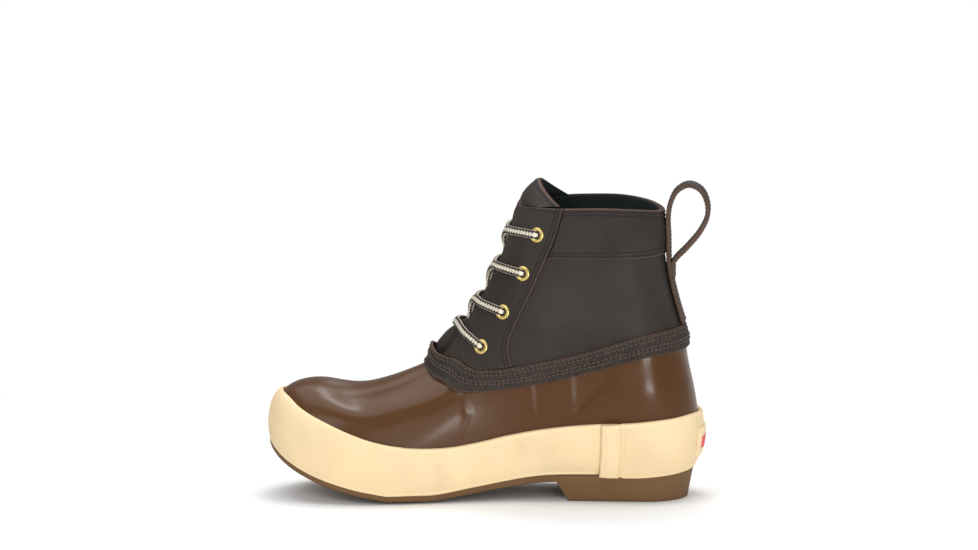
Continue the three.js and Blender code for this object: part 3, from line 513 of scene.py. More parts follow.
def makeLeather(name, settings):
    material, tree, shader = newMaterial(name, settings["color"], settings["rough"],
                                         Specular_IOR_Level=settings["shine"])
    place = objectPlace(tree)
    cloud, blotch = spots(tree, place, 14, 4), spots(tree, place, 55, 5, 0.65)
    color = tint(tree, ramp(tree, cloud, 0.25, 0.75), settings["color"], settings["pale"])
    color = tint(tree, ramp(tree, blotch, 0.45, 0.8, 0, 0.6), color, settings["warm"])
    speck = math2(tree, "MULTIPLY", ramp(tree, spots(tree, place, 900, 3, 0.7), 0.5, 0.7), settings["speck"])
    color = tint(tree, speck, color, settings["speckColor"])
    worn = math2(tree, "MULTIPLY", ramp(tree, edgePlace(tree), settings["rawWidth"], settings["rawWidth"] * 0.4),
                 ramp(tree, blotch, 0.3, 0.55, 0.55, 1))
    color = tint(tree, worn, color, settings["raw"])
    scratch = node(tree, "ShaderNodeMapping", {"Vector": place}, Scale=(90, 90, 700), Rotation=(0.3, 0.5, 0.2))
    scuff = ramp(tree, spots(tree, scratch.outputs[0], 1.0, 2), 0.66, 0.76, 0, 0.22)
    color = tint(tree, scuff, color, settings["pale"])
    tree.links.new(color, shader.inputs["Base Color"])
    rough = ramp(tree, cloud, 0.3, 0.7, settings["rough"] + 0.1, settings["rough"] - 0.08)
    tree.links.new(rough, shader.inputs["Roughness"])
    cells = node(tree, "ShaderNodeTexVoronoi", {"Vector": place}, Scale=settings["grain"], feature="F1")
    grain = bump(tree, shader, cells.outputs["Distance"], settings["grainDepth"], 0.8)
    bump(tree, shader, spots(tree, place, 240, 5, 0.6), settings["wrinkle"], 0.8, grain)
    return material


def makeLining(settings):
    material, tree, shader = newMaterial("darkLining", settings["color"], 0.95, Sheen_Weight=0.04,
                                         Sheen_Roughness=0.6, Specular_IOR_Level=0.08)
    place = objectPlace(tree)
    fuzz = spots(tree, place, 900, 5, 0.7)
    color = tint(tree, ramp(tree, fuzz, 0.35, 0.7), settings["color"], settings["pale"])
    tree.links.new(color, shader.inputs["Base Color"])
    bump(tree, shader, fuzz, 0.5)
    return material


def makeBraid(settings):
    material, tree, shader = newMaterial("braidedCord", settings["cream"], 0.85, Specular_IOR_Level=0.15,
                                         Sheen_Weight=0.15)
    along, around = uvPlace(tree)  # around is 0 to 1, with the cord's faces at 0.25 and 0.75
    twice = math2(tree, "FRACT", math2(tree, "MULTIPLY", around, 2), 0)
    half = math2(tree, "ABSOLUTE", math2(tree, "SUBTRACT", twice, 0.5), 0)  # 0 on a face's middle, 0.5 on the edge
    tooth = math2(tree, "PINGPONG", math2(tree, "DIVIDE", along, settings["pitch"]), 0.5)
    bent = math2(tree, "ADD", half, math2(tree, "MULTIPLY", tooth, settings["tooth"]))
    inner = ramp(tree, bent, settings["trackIn"], settings["trackIn"] + 0.02)
    outer = ramp(tree, half, settings["trackOut"] + 0.02, settings["trackOut"])
    track = math2(tree, "MULTIPLY", inner, outer)
    cream = tint(tree, spots(tree, objectPlace(tree), 500, 3), settings["cream"], settings["shade"])
    tree.links.new(tint(tree, track, cream, settings["brown"]), shader.inputs["Base Color"])
    slanted = math2(tree, "ADD", along, math2(tree, "MULTIPLY", half, settings["pitch"] * 1.5))
    strands = math2(tree, "SINE", math2(tree, "MULTIPLY", slanted, 2 * math.pi / settings["pitch"] * 2), 0)
    bump(tree, shader, strands, 0.35)
    return material


rubberSettings = {"rough": 0.32, "roughSpread": 0.05, "coat": 0.24, "coatRough": 0.2, "shine": 0.1, "cloud": 11,
                  "fine": 260, "bump": 0.04}
treadSettings = {"rough": 0.6, "roughSpread": 0.08, "coat": 0.0, "coatRough": 0.3, "shine": 0.2, "cloud": 24,
                 "fine": 420, "bump": 0.2}
bandSettings = {"color": (0.88, 0.69, 0.435), "warm": (0.85, 0.64, 0.375), "shade": (0.7, 0.48, 0.23), "pitch": 1.9,
                "slope": 1.3, "printShade": 0.22, "printDepth": 0.16, "rough": 0.5, "grime": 0.35,
                "dirt": (0.6, 0.4, 0.2)}
leatherSettings = {"color": (0.0235, 0.018, 0.015), "pale": (0.045, 0.0375, 0.034), "warm": (0.043, 0.028, 0.021),
                   "raw": (0.1, 0.06, 0.042), "rawWidth": 0.9, "rough": 0.5, "shine": 0.13, "grain": 700,
                   "grainDepth": 0.1, "wrinkle": 0.2, "speck": 0.0, "speckColor": (0.11, 0.09, 0.075)}
randSettings = dict(leatherSettings, color=(0.022, 0.0155, 0.012), pale=(0.037, 0.028, 0.023), grain=420,
                    grainDepth=0.35, wrinkle=0.5, rough=0.62, speck=0.7)
rubberBrown = makeRubber("brownRubber", (0.077, 0.029, 0.0065), (0.09, 0.037, 0.012), rubberSettings)
rubberTread = makeRubber("treadRubber", (0.13, 0.068, 0.027), (0.165, 0.09, 0.04), treadSettings)
rubberCream = makeBandRubber(bandSettings)
leatherShaft = makeLeather("oiledLeather", leatherSettings)
leatherRand = makeLeather("roughLeather", randSettings)
rawLeather = makeLeather("rawLeatherEdge", dict(leatherSettings, color=(0.085, 0.05, 0.035),
                                                pale=(0.115, 0.07, 0.048), warm=(0.06, 0.034, 0.023), rough=0.8,
                                                rawWidth=0.01))
liningDark = makeLining({"color": (0.012, 0.0165, 0.016), "pale": (0.028, 0.035, 0.034)})
cordBraid = makeBraid({"cream": (0.92, 0.84, 0.7), "shade": (0.78, 0.68, 0.52), "brown": (0.028, 0.014, 0.009),
                       "pitch": 2.5, "tooth": 0.32, "trackIn": 0.2, "trackOut": 0.365})


def makePlain(name, color, roughness, scale, detail, depth, **sockets):  # one colour with a fine grain
    material, tree, shader = newMaterial(name, color, roughness, **sockets)
    bump(tree, shader, spots(tree, objectPlace(tree), scale, detail), depth)
    return material


threadBrown = makePlain("brownThread", (0.009, 0.0055, 0.004), 0.6, 2500, 2, 0.1, Specular_IOR_Level=0.3)
threadPale = makePlain("paleThread", (0.082, 0.06, 0.047), 0.6, 2500, 2, 0.1, Specular_IOR_Level=0.3)
brassRing = makePlain("brassRing", (0.72, 0.55, 0.19), 0.32, 700, 3, 0.03, Metallic=1.0)
redPrint = makePlain("redPrint", (0.7, 0.035, 0.045), 0.5, 900, 3, 0.05)
print("materials made")


# Rubber lower. Creases run between two spots: share of the sole's length, share of the instep's height.

lowerSettings = {
    "columns": 520, "rows": 84, "tallest": 2.5, "foldLines": [
        {"side": -1, "start": (0.544, 0.86), "end": (0.538, 0.68), "width": 2.3, "depth": 0.6},
        {"side": -1, "start": (0.532, 0.64), "end": (0.525, 0.5), "width": 1.8, "depth": 0.3},
        {"side": -1, "start": (0.393, 0.9), "end": (0.385, 0.68), "width": 2.2, "depth": 0.75},
        {"side": -1, "start": (0.3, 0.94), "end": (0.296, 0.68), "width": 2.4, "depth": 0.95},
        {"side": -1, "start": (0.243, 0.82), "end": (0.295, 0.66), "width": 3.2, "depth": -0.6},
        {"side": -1, "start": (0.12, 0.83), "end": (0.165, 0.78), "width": 17, "depth": 2.1},
        {"side": 1, "start": (0.12, 0.83), "end": (0.165, 0.78), "width": 17, "depth": 2.1},
        {"side": -1, "start": (0.33, 0.8), "end": (0.37, 0.62), "width": 6.0, "depth": 0.3},
        {"side": 1, "start": (0.5, 0.84), "end": (0.49, 0.6), "width": 2.6, "depth": 0.45},
        {"side": 1, "start": (0.36, 0.9), "end": (0.35, 0.66), "width": 2.4, "depth": 0.4},
        {"side": 1, "start": (0.24, 0.92), "end": (0.3, 0.66), "width": 5.5, "depth": -0.6},
        {"side": 1, "start": (0.62, 0.76), "end": (0.56, 0.55), "width": 6.0, "depth": -0.4},
    ],
}


def makeRubberLower(settings):
    turns = np.arange(settings["columns"]) / settings["columns"]
    turn, level = np.meshgrid(turns, np.linspace(0, 1, settings["rows"]), indexing="ij")
    base = skin(turn, level)
    bandEdge = levelAt(turns, bandTop(turns), 0, 0.8)[:, None]
    bare = ease(0.0, 0.05, level - bandEdge) * (1 - ease(0.93, 1.0, level))
    relief = folds(base, foldLines(settings["foldLines"])) + 0.25 * waves(base, 70, 3)
    outer = onSkin(turn, level, np.minimum(relief * bare, settings["tallest"]))
    inner = onSkin(turn, level, np.full_like(level, -boot["rubberWall"]))
    return shell("rubberLower", outer, inner, [rubberBrown, rubberBrown, liningDark], True)


lower = makeRubberLower(lowerSettings)
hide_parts("rubber_lower")
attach(lower, "root")
print("rubber lower made")


# Bands

bandShape = {"columns": 520, "rows": 30, "spliceBack": 0.183, "spliceFront": 0.222, "lap": 1.4, "lowLip": 3.2,
             "lipStep": 0.45, "round": 1.3, "uneven": 0.12, "edgeWave": 0.3, "overSole": (0.6, 1.4), "overSoleRise": 18,
             "heelDrop": 1.5, "toeThin": 6, "belly": 0.3, "thinnest": 0.25, "ramp": 0.03,
             "ridge": {"depth": 1.4, "width": 0.005}, "notch": {"depth": 0.9, "width": 0.002, "behind": 0.0055}}


def bandLayer(name, turns, settings, thick, lift, heelDrop=0.0):
    v = spaced(settings["rows"], 0.1, 6)
    turn = np.repeat(turns[:, None], len(v), 1)
    top = levelAt(turns, bandTop(turns) + settings["edgeWave"] * np.sin(turns * 61) * np.sin(turns * 23 + 1), 0, 0.8)
    level = top[:, None] * v[None, :]
    base = onSkin(turn, level, np.full(level.shape, 2.0))
    low = pathLength(base, 1)
    high = low[:, -1:] - low
    across = pathLength(base[:, len(v) // 2])[:, None]
    ends = np.minimum(across, across[-1] - across)
    share = spoke(turn)[1]
    topRound = settings["round"] + settings["toeThin"] * ease(0.8, 1, share)
    depth = np.asarray(thick, float)[:, None] * mix(0.3, 1, rounded(low, settings["round"]) * rounded(high, topRound))
    depth = depth - settings["lipStep"] * (1 - ease(settings["lowLip"] - 0.5, settings["lowLip"] + 0.5, low))
    depth = depth + settings["belly"] * ease(2, 14, np.minimum(low, high)) + settings["uneven"] * waves(base, 46, 5)
    depth = depth * mix(0.35, 1, rounded(ends, settings["round"]))
    start = boot["clearance"] + lift[:, None]
    outer = onSkin(turn, level, start + np.maximum(depth, settings["thinnest"]))
    inner = onSkin(turn, level, np.broadcast_to(start, level.shape))
    drop = mix(*settings["overSole"], ease(0.6, 0.97, share)) * ease(0.28, 0.5, share) + heelDrop
    for face in (outer, inner):  # the lower edge laps over the sole's side
        face[..., 2] -= drop * (1 - ease(0, settings["overSoleRise"], low))
    gap = np.minimum(np.minimum(low, high), ends)
    return shell(name, outer, inner, [rubberCream] * 3, False, gap)


def makeBands(settings):
    back, front = shareTurn(settings["spliceBack"]), shareTurn(settings["spliceFront"])
    ramped = shareTurn(settings["spliceFront"] + settings["ramp"])
    ridge, notch = settings["ridge"], settings["notch"]
    count = settings["columns"]
    turns = np.linspace(back, 1 - back, count)
    near = np.minimum(turns, 1 - turns)
    thick = mix(settings["lap"], boot["bandThickness"], ease(front, ramped, near))
    toe = bandLayer("toeBand", turns, settings, thick, np.zeros(count))
    count = settings["columns"] // 2
    turns = np.linspace(-front, front, count)
    near = np.abs(turns)
    lift = (settings["lap"] + boot["clearance"] * 1.6) * ease(back - 0.006, back - 0.001, near)
    thick = boot["bandThickness"] + ridge["depth"] * np.exp(-((near - (back + front) / 2) / ridge["width"]) ** 2)
    thick = thick - notch["depth"] * np.exp(-((near - back + notch["behind"]) / notch["width"]) ** 2)
    heel = bandLayer("heelBand", turns, settings, thick, lift, settings["heelDrop"])
    return toe, heel


toeBand, heelBand = makeBands(bandShape)
for piece, cadNode in ((toeBand, "toe_band"), (heelBand, "heel_band")):
    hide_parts(cadNode)
    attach(piece, "root")
print("bands made")


# Outsole

soleShape = {"stations": 420, "across": 60, "sideRows": 9, "heelTaper": 4, "heelBreast": 93, "heelBreastSlant": 8,
             "crown": 2, "groovePitch": 15, "grooveWidth": 2.6, "grooveDepth": 1.6, "grooveSweep": 0.42,
             "grooveEdge": 5, "ballTread": (0.6, 0.97), "toeThin": 1.6, "edgeRound": 1.6, "edgeRise": 0.9,
             "breastTurn": 0.014, "weld": 0.00002}


def makeOutsole(settings):
    # One grid runs round the sole's section: top face, side, tread, side.
    setback, ball = boot["heelSetback"], boot["ballWidth"]
    breast = shareTurn((settings["heelBreast"] - 4) / boot["soleLength"])
    breast = breast + settings["breastTurn"] * np.linspace(0, 1, 24)  # more columns on its steep face
    turns = np.sort(np.concatenate([0.5 * spaced(settings["stations"], 0.01, 6), breast]))
    share = spoke(turns)[1]
    inset = readTable(wallTable, "tuck", share) * ball + boot["bandThickness"] * 0.25
    x, nearY, at = outline(turns, inset)
    farY = outline(1 - turns, inset)[1]
    s = setback - x
    step = np.clip((settings["heelBreast"] + settings["heelBreastSlant"] - s) / settings["heelBreastSlant"], 0, 1)
    foot = mix(inset + 1, inset + settings["heelTaper"], step)
    footX, footNear, _ = outline(turns, foot)
    footFar = outline(1 - turns, foot)[1]
    footX = mix(footX, x, ease(20, 60, s))  # behind the heel the sections lean with its taper
    topZ = soleTop(at)
    ground = treadHeight(at) * (1 - step) + settings["toeThin"] * ease(0.78, 1, at)
    across = np.linspace(-1, 1, settings["across"])
    middle = readTable(planTable, "shift", at) * ball
    half = planHalf(at)

    def grooves(sx, y, low, high):
        tip = sx + np.abs(y) * settings["grooveSweep"]
        near = np.abs(np.mod(tip - low + settings["groovePitch"] / 2, settings["groovePitch"]) -
                      settings["groovePitch"] / 2)
        cut = 1 - ease(settings["grooveWidth"] * 0.3, settings["grooveWidth"] * 0.62, near)
        return cut * (tip > low - 4) * (tip < high)

    treadY = mix(footNear[:, None], footFar[:, None], (across[None, :] + 1) / 2)
    treadX = np.broadcast_to(footX[:, None], treadY.shape)
    rim = np.minimum(np.abs(treadY - footNear[:, None]), np.abs(treadY - footFar[:, None]))
    raised = settings["crown"] * np.maximum(2 * np.abs((treadY - middle[:, None]) / half[:, None]) - 1, 0) ** 2
    treadS = setback - treadX
    underHeel = grooves(treadS, treadY, setback - 1.5 * settings["groovePitch"], settings["heelBreast"] - 2)
    underBall = grooves(treadS, treadY, *[share * boot["soleLength"] for share in settings["ballTread"]])
    cut = np.where(step[:, None] > 0.99, underHeel, underBall * (step[:, None] < 0.01))
    cut = cut * ease(settings["grooveEdge"] - 3, settings["grooveEdge"], rim)
    treadZ = ground[:, None] + raised * (1 - step[:, None]) + settings["grooveDepth"] * cut
    treadZ = treadZ + settings["edgeRise"] * (1 - rounded(rim, settings["edgeRound"]))
    t = np.linspace(0, 1, settings["sideRows"] + 2)[1:-1]

    def sidePoints(topY, footY, edgeZ):
        return stack(mix(x[:, None], footX[:, None], t[None, :]), mix(topY[:, None], footY[:, None], t[None, :]),
                     mix(topZ[:, None], edgeZ[:, None], t[None, :]))

    topY = mix(nearY[:, None], farY[:, None], np.linspace(1, 0, 7)[None, :])
    top = stack(x[:, None], topY, np.broadcast_to(topZ[:, None], topY.shape))
    near, far = sidePoints(nearY, footNear, treadZ[:, 0]), sidePoints(farY, footFar, treadZ[:, -1])
    ring = np.concatenate([top, near, stack(treadX, treadY, treadZ), far[:, ::-1]], 1)
    faces = gridFaces(*ring.shape[:2], False)
    return addPiece("treadSole", ring.reshape(-1, 3), faces, np.zeros(len(faces), int), [rubberTread])


sole = makeOutsole(soleShape)
weld = sole.modifiers.new("weld", "WELD")
weld.merge_threshold = soleShape["weld"]
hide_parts("outsole")
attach(sole, "root")
print("outsole made")


# Insole

def makeInsole(settings):
    turns = mix(0.002, 0.498, spaced(settings["stations"], 0.02, 5))  # blunt ends keep the mesh free of poles
    share = spoke(turns)[1]
    inset = (boot["bandThickness"] + boot["rubberWall"] + 3 * boot["clearance"] +
             readTable(wallTable, "tuck", share) * boot["ballWidth"])
    x, nearY, at = outline(turns, inset)
    farY = outline(1 - turns, inset)[1]
    across = np.linspace(-1, 1, settings["across"])
    y = mix(nearY[:, None], farY[:, None], (across[None, :] + 1) / 2)
    gap = np.minimum(np.abs(y - nearY[:, None]), np.abs(y - farY[:, None]))
    base = soleTop(at)[:, None] + boot["clearance"]
    cup = settings["cup"] * across[None, :] ** 4 * (1 - ease(0.3, 0.6, at))[:, None]
    top = base + settings["thickness"] - settings["round"] * (1 - rounded(gap, settings["round"])) + cup
    upper = stack(x[:, None], y, top)
    under = stack(x[:, None], y, np.broadcast_to(base, y.shape))
    return shell("footbed", upper, under, [liningDark] * 3)


insole = makeInsole({"stations": 120, "across": 36, "thickness": 5, "round": 1.6, "cup": 0.6})
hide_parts("insole")
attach(insole, "root")


# Leather shaft and its overlays share one set of soft creases

shaftCreases = [
    {"side": -1, "start": (0.3, 1.55), "end": (0.12, 1.3), "width": 9, "depth": -0.5},
    {"side": -1, "start": (0.34, 1.3), "end": (0.16, 1.22), "width": 7, "depth": 0.35},
    {"side": -1, "start": (0.28, 1.9), "end": (0.14, 1.75), "width": 12, "depth": -0.4},
    {"side": 1, "start": (0.32, 1.5), "end": (0.12, 1.32), "width": 9, "depth": -0.55},
    {"side": 1, "start": (0.26, 1.85), "end": (0.13, 1.6), "width": 11, "depth": 0.4},
    {"side": 1, "start": (0.36, 1.25), "end": (0.2, 1.2), "width": 6, "depth": -0.35},
]

shaftLines = foldLines(shaftCreases)


def shaftRelief(turn, level):
    base = skin(turn, level)
    relief = folds(base, shaftLines) + 0.3 * waves(base, 95, 2)
    return relief * ease(1.0, 1.12, level)


def makeShaft(settings):
    v = np.linspace(0, 1, settings["rows"])
    height = mix(boot["instepHeight"] * 1.02, boot["collarHeight"], v)
    far, near = throatTurn(1, height) - 1, throatTurn(-1, height)
    u = np.linspace(0, 1, settings["columns"])[:, None]
    turn = mix(far[None, :], near[None, :], u)
    level = np.broadcast_to(mix(1 + boot["clearance"] / 90, 2, v)[None, :], turn.shape)
    relief = shaftRelief(turn, level)
    gap = edgeGaps(skin(turn, level))
    edge = 1 - rounded(gap, settings["round"])
    outer = onSkin(turn, level, relief - settings["outerEdge"] * edge)
    inner = onSkin(turn, level, relief - boot["leatherWall"] + settings["innerEdge"] * edge)
    return shell("shaft", outer, inner, [leatherShaft, rawLeather, liningDark], False, np.maximum(gap, 1.5))


shaft = makeShaft({"rows": 70, "columns": 260, "round": 0.8, "outerEdge": 0.5, "innerEdge": 0.4})
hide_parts("leather_upper")
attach(shaft, "root")
print("shaft made")

seams = []  # polylines that stitches follow: (points, settings)


def insetLine(points, edge, gap, endGap=2.0):  # a line on a grid of points, a distance in from one edge
    grid = points if edge in ("low", "top") else np.swapaxes(points, 0, 1)
    if edge in ("top", "last"):
        grid = grid[:, ::-1]
    line = np.array([[np.interp(gap, pathLength(row), row[:, k]) for k in range(3)] for row in grid])
    along = pathLength(line)
    return line[(along >= endGap) & (along <= along[-1] - endGap)]


randShape = {"columns": 480, "rows": 26, "height": 15.5, "front": 0.65, "lean": 5.5, "raise": 0.4, "wall": 2,
             "stitchRows": (2.4, 5.0, 9.6, 12.0), "edgeWave": 0.14, "round": 0.9, "thinEdge": 0.45,
             "rough": ((0.16, 9, 4), (0.2, 31, 6))}  # depth, size and seed of its unevenness


def randLines(turn):
    share = spoke(turn)[1]
    tall = randShape["height"] * mix(1, randShape["front"], ease(0.85, 1, share))
    foot = skin(turn, np.ones_like(turn))[..., 2] - randShape["height"] * (
        0.5 - randShape["raise"] * ease(0.66, 0.86, share))
    return foot, tall


def makeRand(settings):
    turns = np.arange(settings["columns"]) / settings["columns"]
    v = spaced(settings["rows"], 0.06, 4)
    foot, tall = randLines(turns)
    ragged = settings["edgeWave"] * np.sin(turns * 2 * math.pi * 23) * np.sin(turns * 2 * math.pi * 9 + 1)
    height = foot[:, None] + ragged[:, None] + tall[:, None] * v[None, :]
    turn = np.repeat(turns[:, None], len(v), 1)
    level = levelAt(turn, height, 0.6, 1.5)
    share = spoke(turn)[1]
    base = skin(turn, level)
    gap = edgeGaps(base, True)
    away = boot["clearance"] * 1.5 + settings["lean"] * v[None, :] * ease(0.88, 1, share)
    rough = sum(depth * waves(base, size, seed) for depth, size, seed in settings["rough"])
    thick = settings["wall"] * mix(settings["thinEdge"], 1, rounded(gap, settings["round"]))
    thick = thick + rough * ease(0, 1.5, gap)
    outer, inner = onSkin(turn, level, away + thick), onSkin(turn, level, away)
    tallest = settings["height"]
    for down in settings["stitchRows"]:
        line = np.array([[np.interp(down * t / tallest, pathLength(row[::-1]), row[::-1, k]) for k in range(3)]
                         for row, t in zip(outer, tall)])
        seams.append((np.concatenate([line, line[:1]]), "rand"))
    return shell("randStrip", outer, inner, [leatherRand, rawLeather, leatherRand], True, gap)


rand = makeRand(randShape)
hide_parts("rand")
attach(rand, "root")

stayShape = {"columns": 60, "rows": 100, "wall": 1.5, "corner": 7.0, "gap": 1.3, "round": 0.9, "thinEdge": 0.4,
             "belly": 0.18, "seam": 2.6, "secondSeam": 5.2}
stayTop = boot["clearance"] * stayShape["gap"] + boot["overlayWall"]  # the eyestays' face over the skin


def makeEyestay(side, name, settings):
    v, u = spaced(settings["rows"], 0.02, 4), spaced(settings["columns"], 0.05, 4)
    low, high = boot["instepHeight"], boot["collarHeight"] * 0.995
    front = throatTurn(side, mix(low + randShape["height"], high, v))
    back = eyestayTurn(side, mix(low, high, v))
    first, last = (back, front) if side < 0 else (front, back)  # grids run with increasing turn

    def gridAt(share):
        turn = mix(first[None, :], last[None, :], share)
        foot, tall = randLines(turn)
        return turn, mix(levelAt(turn, foot + tall + boot["clearance"] * 2, 0.9, 1.6), 2, v[None, :])

    points = skin(*gridAt(u[:, None]))
    width = np.linalg.norm(points[-1] - points[0], axis=-1)
    fromTop = pathLength(points[-1 if side < 0 else 0][::-1])[::-1]
    cut = settings["corner"] * (1 - rounded(fromTop, settings["corner"]))
    shareCut = np.minimum(cut / width, 0.5)[None, :]
    turn, level = gridAt(u[:, None] * (1 - shareCut) + (shareCut if side > 0 else 0))
    gap = edgeGaps(skin(turn, level))
    start = boot["clearance"] * settings["gap"] + shaftRelief(turn, level)
    thick = settings["wall"] * mix(settings["thinEdge"], 1, rounded(gap, settings["round"]))
    thick = thick + settings["belly"] * ease(0, 6, gap)
    outer, inner = onSkin(turn, level, start + thick), onSkin(turn, level, start)
    backEdge, frontEdge = ("first", "last") if side < 0 else ("last", "first")
    seam = settings["seam"]
    for edge, inward, endGap in ((backEdge, seam, 0.5), (backEdge, settings["secondSeam"], 0.5), (frontEdge, seam, 3.5),
                                 ("top", seam, 3.5)):
        seams.append((insetLine(outer, edge, inward, endGap), "trim"))
    return shell(name, outer, inner, [leatherShaft, rawLeather, rawLeather], False, gap)


for side, name, cadNode in ((-1, "innerEyestay", "eyestay_inner"), (1, "outerEyestay", "eyestay_outer")):
    eyestay = makeEyestay(side, name, stayShape)
    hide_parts(cadNode)
    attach(eyestay, "root")

cuffShape = {"columns": 200, "rows": 26, "height": 31, "wall": 1.5, "round": 0.9, "thinEdge": 0.4, "padding": 0.55,
             "seams": (2.6, 5.2)}


def makeCollarBand(settings):
    v, u = spaced(settings["rows"], 0.04, 4), np.linspace(0, 1, settings["columns"])
    bottom = boot["collarHeight"] - settings["height"]
    slit = boot["clearance"] * 1.5 / (math.pi * boot["collarWidth"])
    height = mix(bottom, boot["collarHeight"], v)
    first, last = eyestayTurn(1, height) - 1 + slit, eyestayTurn(-1, height) - slit
    turn = mix(first[None, :], last[None, :], u[:, None])
    level = mix(levelAt(turn, np.full(turn.shape, bottom), 1), 2, v[None, :])
    rows = edgeGaps(skin(turn, level), True)
    start = boot["clearance"] + shaftRelief(turn, level)
    thick = settings["wall"] * mix(settings["thinEdge"], 1, rounded(rows, settings["round"]))
    thick = thick + settings["padding"] * ease(5.5, 13, rows)
    outer, inner = onSkin(turn, level, start + thick), onSkin(turn, level, start)
    for edge in ("low", "top"):
        for inward in settings["seams"]:
            seams.append((insetLine(outer, edge, inward, 1.0), "trim"))
    return shell("collarBand", outer, inner, [leatherShaft, rawLeather, rawLeather], False, rows)


collarBand = makeCollarBand(cuffShape)
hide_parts("collar_band")
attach(collarBand, "root")
print("overlays made")


# Tongue

# Its sections run from the root (0) past the rubber's rim (2) and the collar (10) to the tip (12).
tongueShape = {"columns": 61, "rows": 90, "wall": 2.6, "root": 12, "rise": 18, "lean": 13, "width": 62, "bulge": 7.5,
               "atRim": 2, "atCollar": 10, "atTip": 12, "rootRun": 130, "foot": 0.6, "flatTip": 0.05}


def makeTongue(settings):
    depth = max(boot["leatherWall"], boot["rubberWall"]) + boot["clearance"] * 1.5
    v = np.concatenate([np.linspace(0, 0.96, settings["rows"]), 1 - 0.04 * (1 - np.linspace(0.2, 1, 5)) ** 1.5])
    rim, collar, tip = settings["atRim"], settings["atCollar"], settings["atTip"]
    row = v * tip
    rootLevel = 1 - settings["root"] / settings["rootRun"]
    level = np.where(row < rim, mix(rootLevel, 1, row / rim), mix(1, 2, np.minimum((row - rim) / (collar - rim), 1)))
    above = np.maximum(row - collar, 0) / (tip - collar)
    height = mix(boot["instepHeight"] * 1.03, boot["collarHeight"], np.clip(level - 1, 0, 1))
    half = settings["width"] / 2 * mix(settings["foot"], 1, ease(0, 0.6, v))
    near = turnWhere(-1, height, lambda p: (p[..., 1] - throatCentre) * -1 > half)
    far = turnWhere(1, height, lambda p: (p[..., 1] - throatCentre) > half)
    across = spaced(settings["columns"], 0.03, 4)[:, None]
    turn = mix(near[None, :], far[None, :], across)
    middle = 1 - np.abs(across * 2 - 1)
    levels = np.broadcast_to(level[None, :], turn.shape)
    bulge = settings["bulge"] * ease(0.55, 0.85, middle) * ease(1.0, 1.1, levels) * (1 - ease(1.14, 1.34, levels))
    relief = 0.35 * waves(skin(turn, levels), 60, 8) * ease(1.3, 1.6, levels)

    def face(out):
        points = onSkin(turn, levels, out + bulge + relief)
        points[..., 2] += above * settings["rise"] * mix(settings["flatTip"], 1, 1 - (across * 2 - 1) ** 2)
        points[..., 0] += above ** 2 * settings["lean"]
        return points

    gap = edgeGaps(face(np.full(turn.shape, -depth)))
    worn = settings["wall"] * 0.25 * (1 - rounded(gap, 1.0))
    outer, inner = face(-depth - worn), face(-depth - settings["wall"] + worn)
    seams.append((insetLine(outer, "top", 2.6, 2.0), "trim"))
    return shell("tongueLeaf", outer, inner, [leatherShaft, rawLeather, liningDark], False, gap)


tongue = makeTongue(tongueShape)
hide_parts("tongue")
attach(tongue, "root")
print("tongue made")


# Pull loop

loopShape = {
    "width": 16, "thickness": 3.2, "height": 53, "depth": 26, "joint": 167, "steps": 220, "round": 0.8,
    "seam": 2.4, "groove": 0.22, "grooveWidth": 0.7,
    "tail": ((0.6, 1), (0, 7), (0, 13)),  # distance off the leg, distance below the joint
    "out": (0, -0.06, -0.08, -0.01, 0.16, 0.48, 0.8, 0.97, 0.97, 0.78, 0.45, 0.1),
    "up": (0, 0.3, 0.55, 0.76, 0.92, 1, 0.93, 0.76, 0.58, 0.38, 0.18, 0.015),
}


def smoothLine(points, count):  # an even line through points, with a Catmull-Rom curve's rounded corners
    p = np.asarray(points, float)
    p = np.concatenate([[2 * p[0] - p[1]], p, [2 * p[-1] - p[-2]]])
    out = []
    for k in range(1, len(p) - 2):
        a, b, c, d = p[k - 1], p[k], p[k + 1], p[k + 2]
        s0, s1, s2 = [max(np.linalg.norm(q - r) ** 0.5, 1e-4) for q, r in ((b, a), (c, b), (d, c))]
        m1 = ((b - a) / s0 - (c - a) / (s0 + s1) + (c - b) / s1) * s1
        m2 = ((c - b) / s1 - (d - b) / (s1 + s2) + (d - c) / s2) * s1
        t = np.linspace(0, 1, 24, endpoint=False)[:, None]
        t2, t3 = t * t, t ** 3
        out.append(b * (2 * t3 - 3 * t2 + 1) + c * (3 * t2 - 2 * t3) + m1 * (t3 - 2 * t2 + t) + m2 * (t3 - t2))
    line = np.concatenate(out + [p[-2:-1]])
    length = pathLength(line)
    at = np.linspace(0, length[-1], count)
    return np.stack([np.interp(at, length, line[:, k]) for k in range(line.shape[1])], -1)


